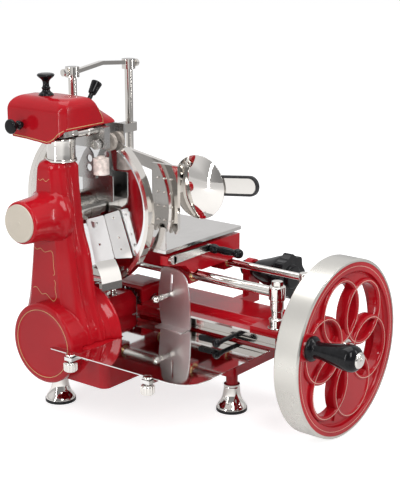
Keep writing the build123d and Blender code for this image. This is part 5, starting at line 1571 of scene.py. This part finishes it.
@dataclass
class Tray(Assembly):
    """Mirror tray with a fine rolled edge, its brackets and two knurled clamps."""

    level: float = -214
    clamp_x: float = -160
    clamp_y: tuple[float, ...] = (-91, -258)

    def build(self) -> None:
        """Roll the tray, then turn the clamps."""
        tray = Shape()
        corners = [(-155, -38), (-155, -298), (-151.5, -315), (-143, -328), (-130, -336), (-115, -338),
                   (65, -338), (65, -27), (-33, -27), (-33, -98), (-144, -98), (-144, -38)]
        tray.plate(rounded(corners, 5, 4), [], from_above, self.level - 1.6, self.level)
        for low_x, high_x, low_y, high_y in ((-166, -144, -99, -83), (-145, -117, -114, -91),
                                             (-166, -87, -266, -250), (-103, -87, -258, -128)):
            tray.plate(oblong(low_x, low_y, high_x, high_y), [], from_above,
                       -222.5, -216.4)
        tray.piece("tray", TRAY_METAL, "frame", "polished_nickel", ("drip_tray",), soft=0.35)
        for name, node, y in (("clamp_rear", "tray_clamp_rear", self.clamp_y[0]),
                              ("clamp_front", "tray_clamp_front", self.clamp_y[1])):
            clamp = Shape()
            ribs = [(0, 0), (8, 0), (9.6, 0.8), (10.4, 3)]
            clamp.turned(eased(ribs + [(10.4, 13), (9.6, 15.4), (8, 16.2), (4.5, 16.6), (4.5, 16.6),
                                       (3.4, 16.8), (3.4, 27), (3.4, 27), (7.3, 27), (7.5, 27.8), (7.3, 30),
                                       (0, 30.5)],
                               2),
                         Axis.Z, self.level - 27.2, (self.clamp_x, y), 48)
            for turn in range(14):
                u, v = polar(10.3, 360 / 14 * turn)
                clamp.turned(eased([(0, 1.4), (1, 1.8), (1.5, 3.4), (1.5, 12.6), (1, 14.2), (0, 14.6)], 2),
                             Axis.Z,
                             self.level - 27.2, (self.clamp_x + u, y + v), 10)
            clamp.piece(name, MIRROR, node, "polished_nickel", (f"tray_thumbscrew_{name[6:]}",), sharp=40)


@dataclass
class Feet(Assembly):
    """Chrome bells with black foot rings, and the polished posts that carry the rods."""

    places: tuple[Flat, ...] = ((-54, 39), (99, -232), (178, -58), (99, 128))
    ground: float = -358

    def build(self) -> None:
        """Turn the bells, their rings and the posts."""
        bells = Shape()
        profile = [(0, 1), (24, 1), (26, 1.4), (27, 3.6), (26.6, 7), (24.6, 11), (21, 16), (18, 22),
                   (16, 29), (14.8, 37), (14.2, 44), (14.2, 44), (13.6, 46), (13.6, 50), (0, 50)]
        rings = Shape()
        for place_xy in self.places:
            bells.turned(eased(profile, 4), Axis.Z, self.ground, place_xy, 64)
            rings.turned(eased([(0, 0), (25, 0), (27.2, 0.8), (27.5, 3), (27, 5.2), (25, 5.6), (0, 5.6)],
                               2),
                         Axis.Z, self.ground, place_xy, 64)
        bells.piece("bells", MIRROR, "frame", "polished_nickel", ("foot_bells",), sharp=50)
        rings.piece("foot_rings", RUBBER, "frame", "black_rim")
        posts = Shape()
        thick = [(0, 0), (15, 0), (15, 0), (15.4, 1), (14.6, 2.4), (13.5, 3.2), (13.5, 15), (12.4, 17),
                 (10.4, 19), (10, 21), (10, 30), (10.6, 31.6), (12, 32.4)]
        for y, seat in ((-326, -186), (156, -194)):
            height = -124 - seat
            top = [(12, height - 14), (12.6, height - 12.4), (14, height - 11), (14.4, height - 9),
                   (14.4, height + 9),
                   (13.6, height + 11.4), (11, height + 12.8), (0, height + 13.2)]
            posts.turned(eased(thick + top, 3), Axis.Z, seat, (98, y), 56)
            posts.plate(disc_points((98, y), 9.8, 6), [], from_above, -111, -104)
            posts.turned(eased([(0, 0), (8.4, 0), (8, 1), (0, 1.6)], 2), Axis.Z, -104, (98, y), 32)
        slim = [(0, 0), (10, 0), (10.4, 1), (10, 4.8), (8.4, 6.4), (7.5, 8)]
        for y in (-314, 156):
            height = 70
            top = [(7.5, height - 12), (8.4, height - 10.4), (10, height - 9), (10.4, height),
                   (10, height + 7.4),
                   (8, height + 9), (0, height + 9.4)]
            posts.turned(eased(slim + top, 3), Axis.Z, -194, (200, y), 48)
        posts.piece("posts", MIRROR, "frame", "polished_nickel", ("rod_posts",), sharp=42)


@dataclass
class Controls(Assembly):
    """Black bell of the thickness dial, its lobed knob and the index lever."""

    axis: Flat = (256, -147)
    front: float = -246
    lobes: int = 8

    def build(self) -> None:
        """Turn the bell, cut the lobed knob and bend the lever."""
        bell = Shape()
        profile = [(8.2, 14), (8.2, 14), (33, 14), (35.4, 15.2), (36, 18), (34.6, 24), (31, 34), (26.5, 46),
                   (22.5, 58), (18.4, 70), (14.4, 78), (14, 82), (14, 102), (14, 102), (0, 102)]
        bell.turned(eased(profile, 4), Axis.Y, self.front, self.axis, 72)
        bell.piece("dial_bell", BLACK, "frame", "polished_nickel", ("dial_housing",), sharp=40)
        knob = Shape()
        outline = []
        for step in range(192):
            turn = 360 * step / 192
            wave = math.cos(math.radians(self.lobes * turn))
            outline.append(tuple(Vector(self.axis) + Vector(polar(39 + 3.4 * (wave if wave > 0
                else wave * 0.7), turn))))
        knob.plate(outline, [], from_front, self.front - 4, self.front + 13.4)
        knob.turned(eased([(0, -9), (18, -9), (21, -8.2), (22, -6), (22, -3), (0, -3)], 3), Axis.Y,
                    self.front, self.axis, 56)
        knob.turned(oblong(0, 13, 7.95, 70), Axis.Y, self.front, self.axis, 32)
        knob.piece("lobed_knob", BLACK, "star_knob", "black_knob", ("star_knob",), sharp=40, soft=1.6)
        lever = Shape()
        lever.rod(3.9, 41, Axis.X, 26, (-262, -204), 24)
        bar = rounded([(-267, -208), (-220, -209), (-220, -199), (-267, -200)], 3)
        lever.plate(bar, [], from_side, 19, 26)
        lever.turned(eased([(0, -7.5), (4.2, -6.3), (6.9, -3), (7.5, 0), (6.9, 3), (4.2, 6.3), (0, 7.5)],
                           3), Axis.X,
                     14, (-262, -204), 32)
        lever.piece("index_arm", BLACK, "index_lever", "black_knob", ("index_lever",), sharp=45, soft=0.6)


# ------------------------------------------------------------------------------ the studio
@dataclass
class Studio:
    """Pale floor, soft lamps, white surround and the camera."""

    floor_size: float = 60
    camera_place: tuple[float, float, float] = (-1576.2, -1469.4, 509.9)
    camera_back: tuple[float, float, float] = (-0.7596, -0.5934, 0.2664)
    lens: float = 90.86
    lamps: tuple[tuple[str, tuple, tuple, float], ...] = (
        ("key", (-1000, -1500, 1300), (0.7, 1.3), 24),
        ("top", (200, 100, 2000), (1.8, 1.8), 26),
        ("strip_left", (-1900, 150, 500), (0.09, 1.7), 10),
        ("strip_right", (900, -1900, 600), (0.09, 1.7), 10),
    )

    def build(self) -> None:
        """Set up the floor, the lamps, the world and the camera."""
        self.build_floor()
        self.build_lamps()
        self.build_world()
        self.build_camera()
        bpy.context.scene.view_settings.view_transform = "Standard"

    def build_floor(self) -> None:
        """Lay the pale floor, which keeps the machine's shadow."""
        mesh = bpy.data.meshes.new("floor")
        half = self.floor_size / 2
        mesh.from_pydata([(-half, -half, 0), (half, -half, 0), (half, half, 0), (-half, half, 0)], [],
                         [(0, 1, 2, 3)])
        floor = new_object("floor", mesh)
        material = bpy.data.materials.new("floor")
        material.use_nodes = True
        helper = NodeTree(material.node_tree)
        material.node_tree.nodes.clear()
        path = helper.add("LightPath")
        spot = helper.add("NewGeometry").outputs["Position"]
        across = helper.add("VectorMath", {0: spot, 1: (-0.78, 0.62, 0)},
                            operation="DOT_PRODUCT").outputs["Value"]
        mirrored = helper.math("MULTIPLY", path.outputs["Is Glossy Ray"],
                               helper.ramp(across, -0.9, 0.6, 0.08, 0.8))
        seen = helper.math("MAXIMUM", path.outputs["Is Camera Ray"], path.outputs["Is Transmission Ray"])
        seen = helper.math("MAXIMUM", seen, mirrored)
        matt = helper.add("BsdfDiffuse", {"Color": (0.62, 0.62, 0.62, 1)})
        glow = helper.add("Emission",
                          {"Color": (1, 1, 1, 1), "Strength": helper.math("MULTIPLY", seen, 0.74)})
        both = helper.add("AddShader", {0: matt.outputs[0], 1: glow.outputs[0]})
        out = helper.add("OutputMaterial")
        material.node_tree.links.new(both.outputs[0], out.inputs[0])
        mesh.materials.append(material)

    def build_lamps(self) -> None:
        """Hang the soft lamps."""
        aim = place(40, -180, -120)
        for name, spot, size, power in self.lamps:
            lamp = bpy.data.lights.new(name, "AREA")
            lamp.shape = "RECTANGLE"
            lamp.size, lamp.size_y = size
            lamp.energy = power
            obj = new_object(name, lamp)
            obj.location = place(*spot)
            obj.rotation_euler = (aim - obj.location).to_track_quat("-Z", "Y").to_euler()

    def build_world(self) -> None:
        """Make the white surround, with the dark studio that polished metal shows behind the camera."""
        world = bpy.data.worlds.new("surround")
        bpy.context.scene.world = world
        world.use_nodes = True
        helper = NodeTree(world.node_tree)
        world.node_tree.nodes.clear()
        path = helper.add("LightPath")
        seen = helper.math("MAXIMUM", path.outputs["Is Camera Ray"], path.outputs["Is Transmission Ray"])
        direction = helper.add("TexCoord").outputs["Generated"]
        back = Vector(self.camera_back).normalized()
        towards = helper.add("VectorMath", {0: direction, 1: tuple(back)},
                             operation="DOT_PRODUCT").outputs["Value"]
        dark = helper.ramp(towards, 0.25, 0.9, 0, 0.72)
        height = helper.add("SeparateXYZ", {0: direction}).outputs[2]
        band = helper.math("MULTIPLY", helper.ramp(height, -0.02, 0.03),
                           helper.ramp(height, 0.12, 0.30, 1, 0))
        dark = helper.math("MAXIMUM", dark, helper.math("MULTIPLY", band, 0.34))
        studio = helper.mix(dark, (0.92, 0.92, 0.93, 1), (0.035, 0.033, 0.035, 1))
        shine = helper.mix(path.outputs["Is Glossy Ray"], (0.42, 0.42, 0.43, 1), studio)
        colour = helper.mix(seen, shine, (1, 1, 1, 1))
        glow = helper.add("Background", {"Color": colour, "Strength": 1})
        out = helper.add("OutputWorld")
        world.node_tree.links.new(glow.outputs[0], out.inputs[0])

    def build_camera(self) -> None:
        """Stand the camera where the photograph was taken from."""
        camera = bpy.data.cameras.new("camera")
        camera.lens = self.lens
        camera.sensor_width = 36
        camera.clip_end = 100
        obj = new_object("camera", camera)
        obj.location = place(*self.camera_place)
        obj.rotation_euler = Vector(self.camera_back).to_track_quat("Z", "Y").to_euler()
        bpy.context.scene.camera = obj


def main() -> None:
    """Dress the machine piece by piece and set up the studio."""
    logging.basicConfig(level=logging.INFO, format="%(name)s: %(message)s")
    dress_frame_nodes()
    parts: tuple[Assembly, ...] = (Flywheel(), Column(), Sharpener(), Guides(), FoodTable(), HandGuard(),
                                   Deflector(), Tray(),
             Feet(), Controls())
    for part in parts:
        part.build()
        log.info("%s done", type(part).__name__)
    Studio().build()


if __name__ == "__main__":
    main()
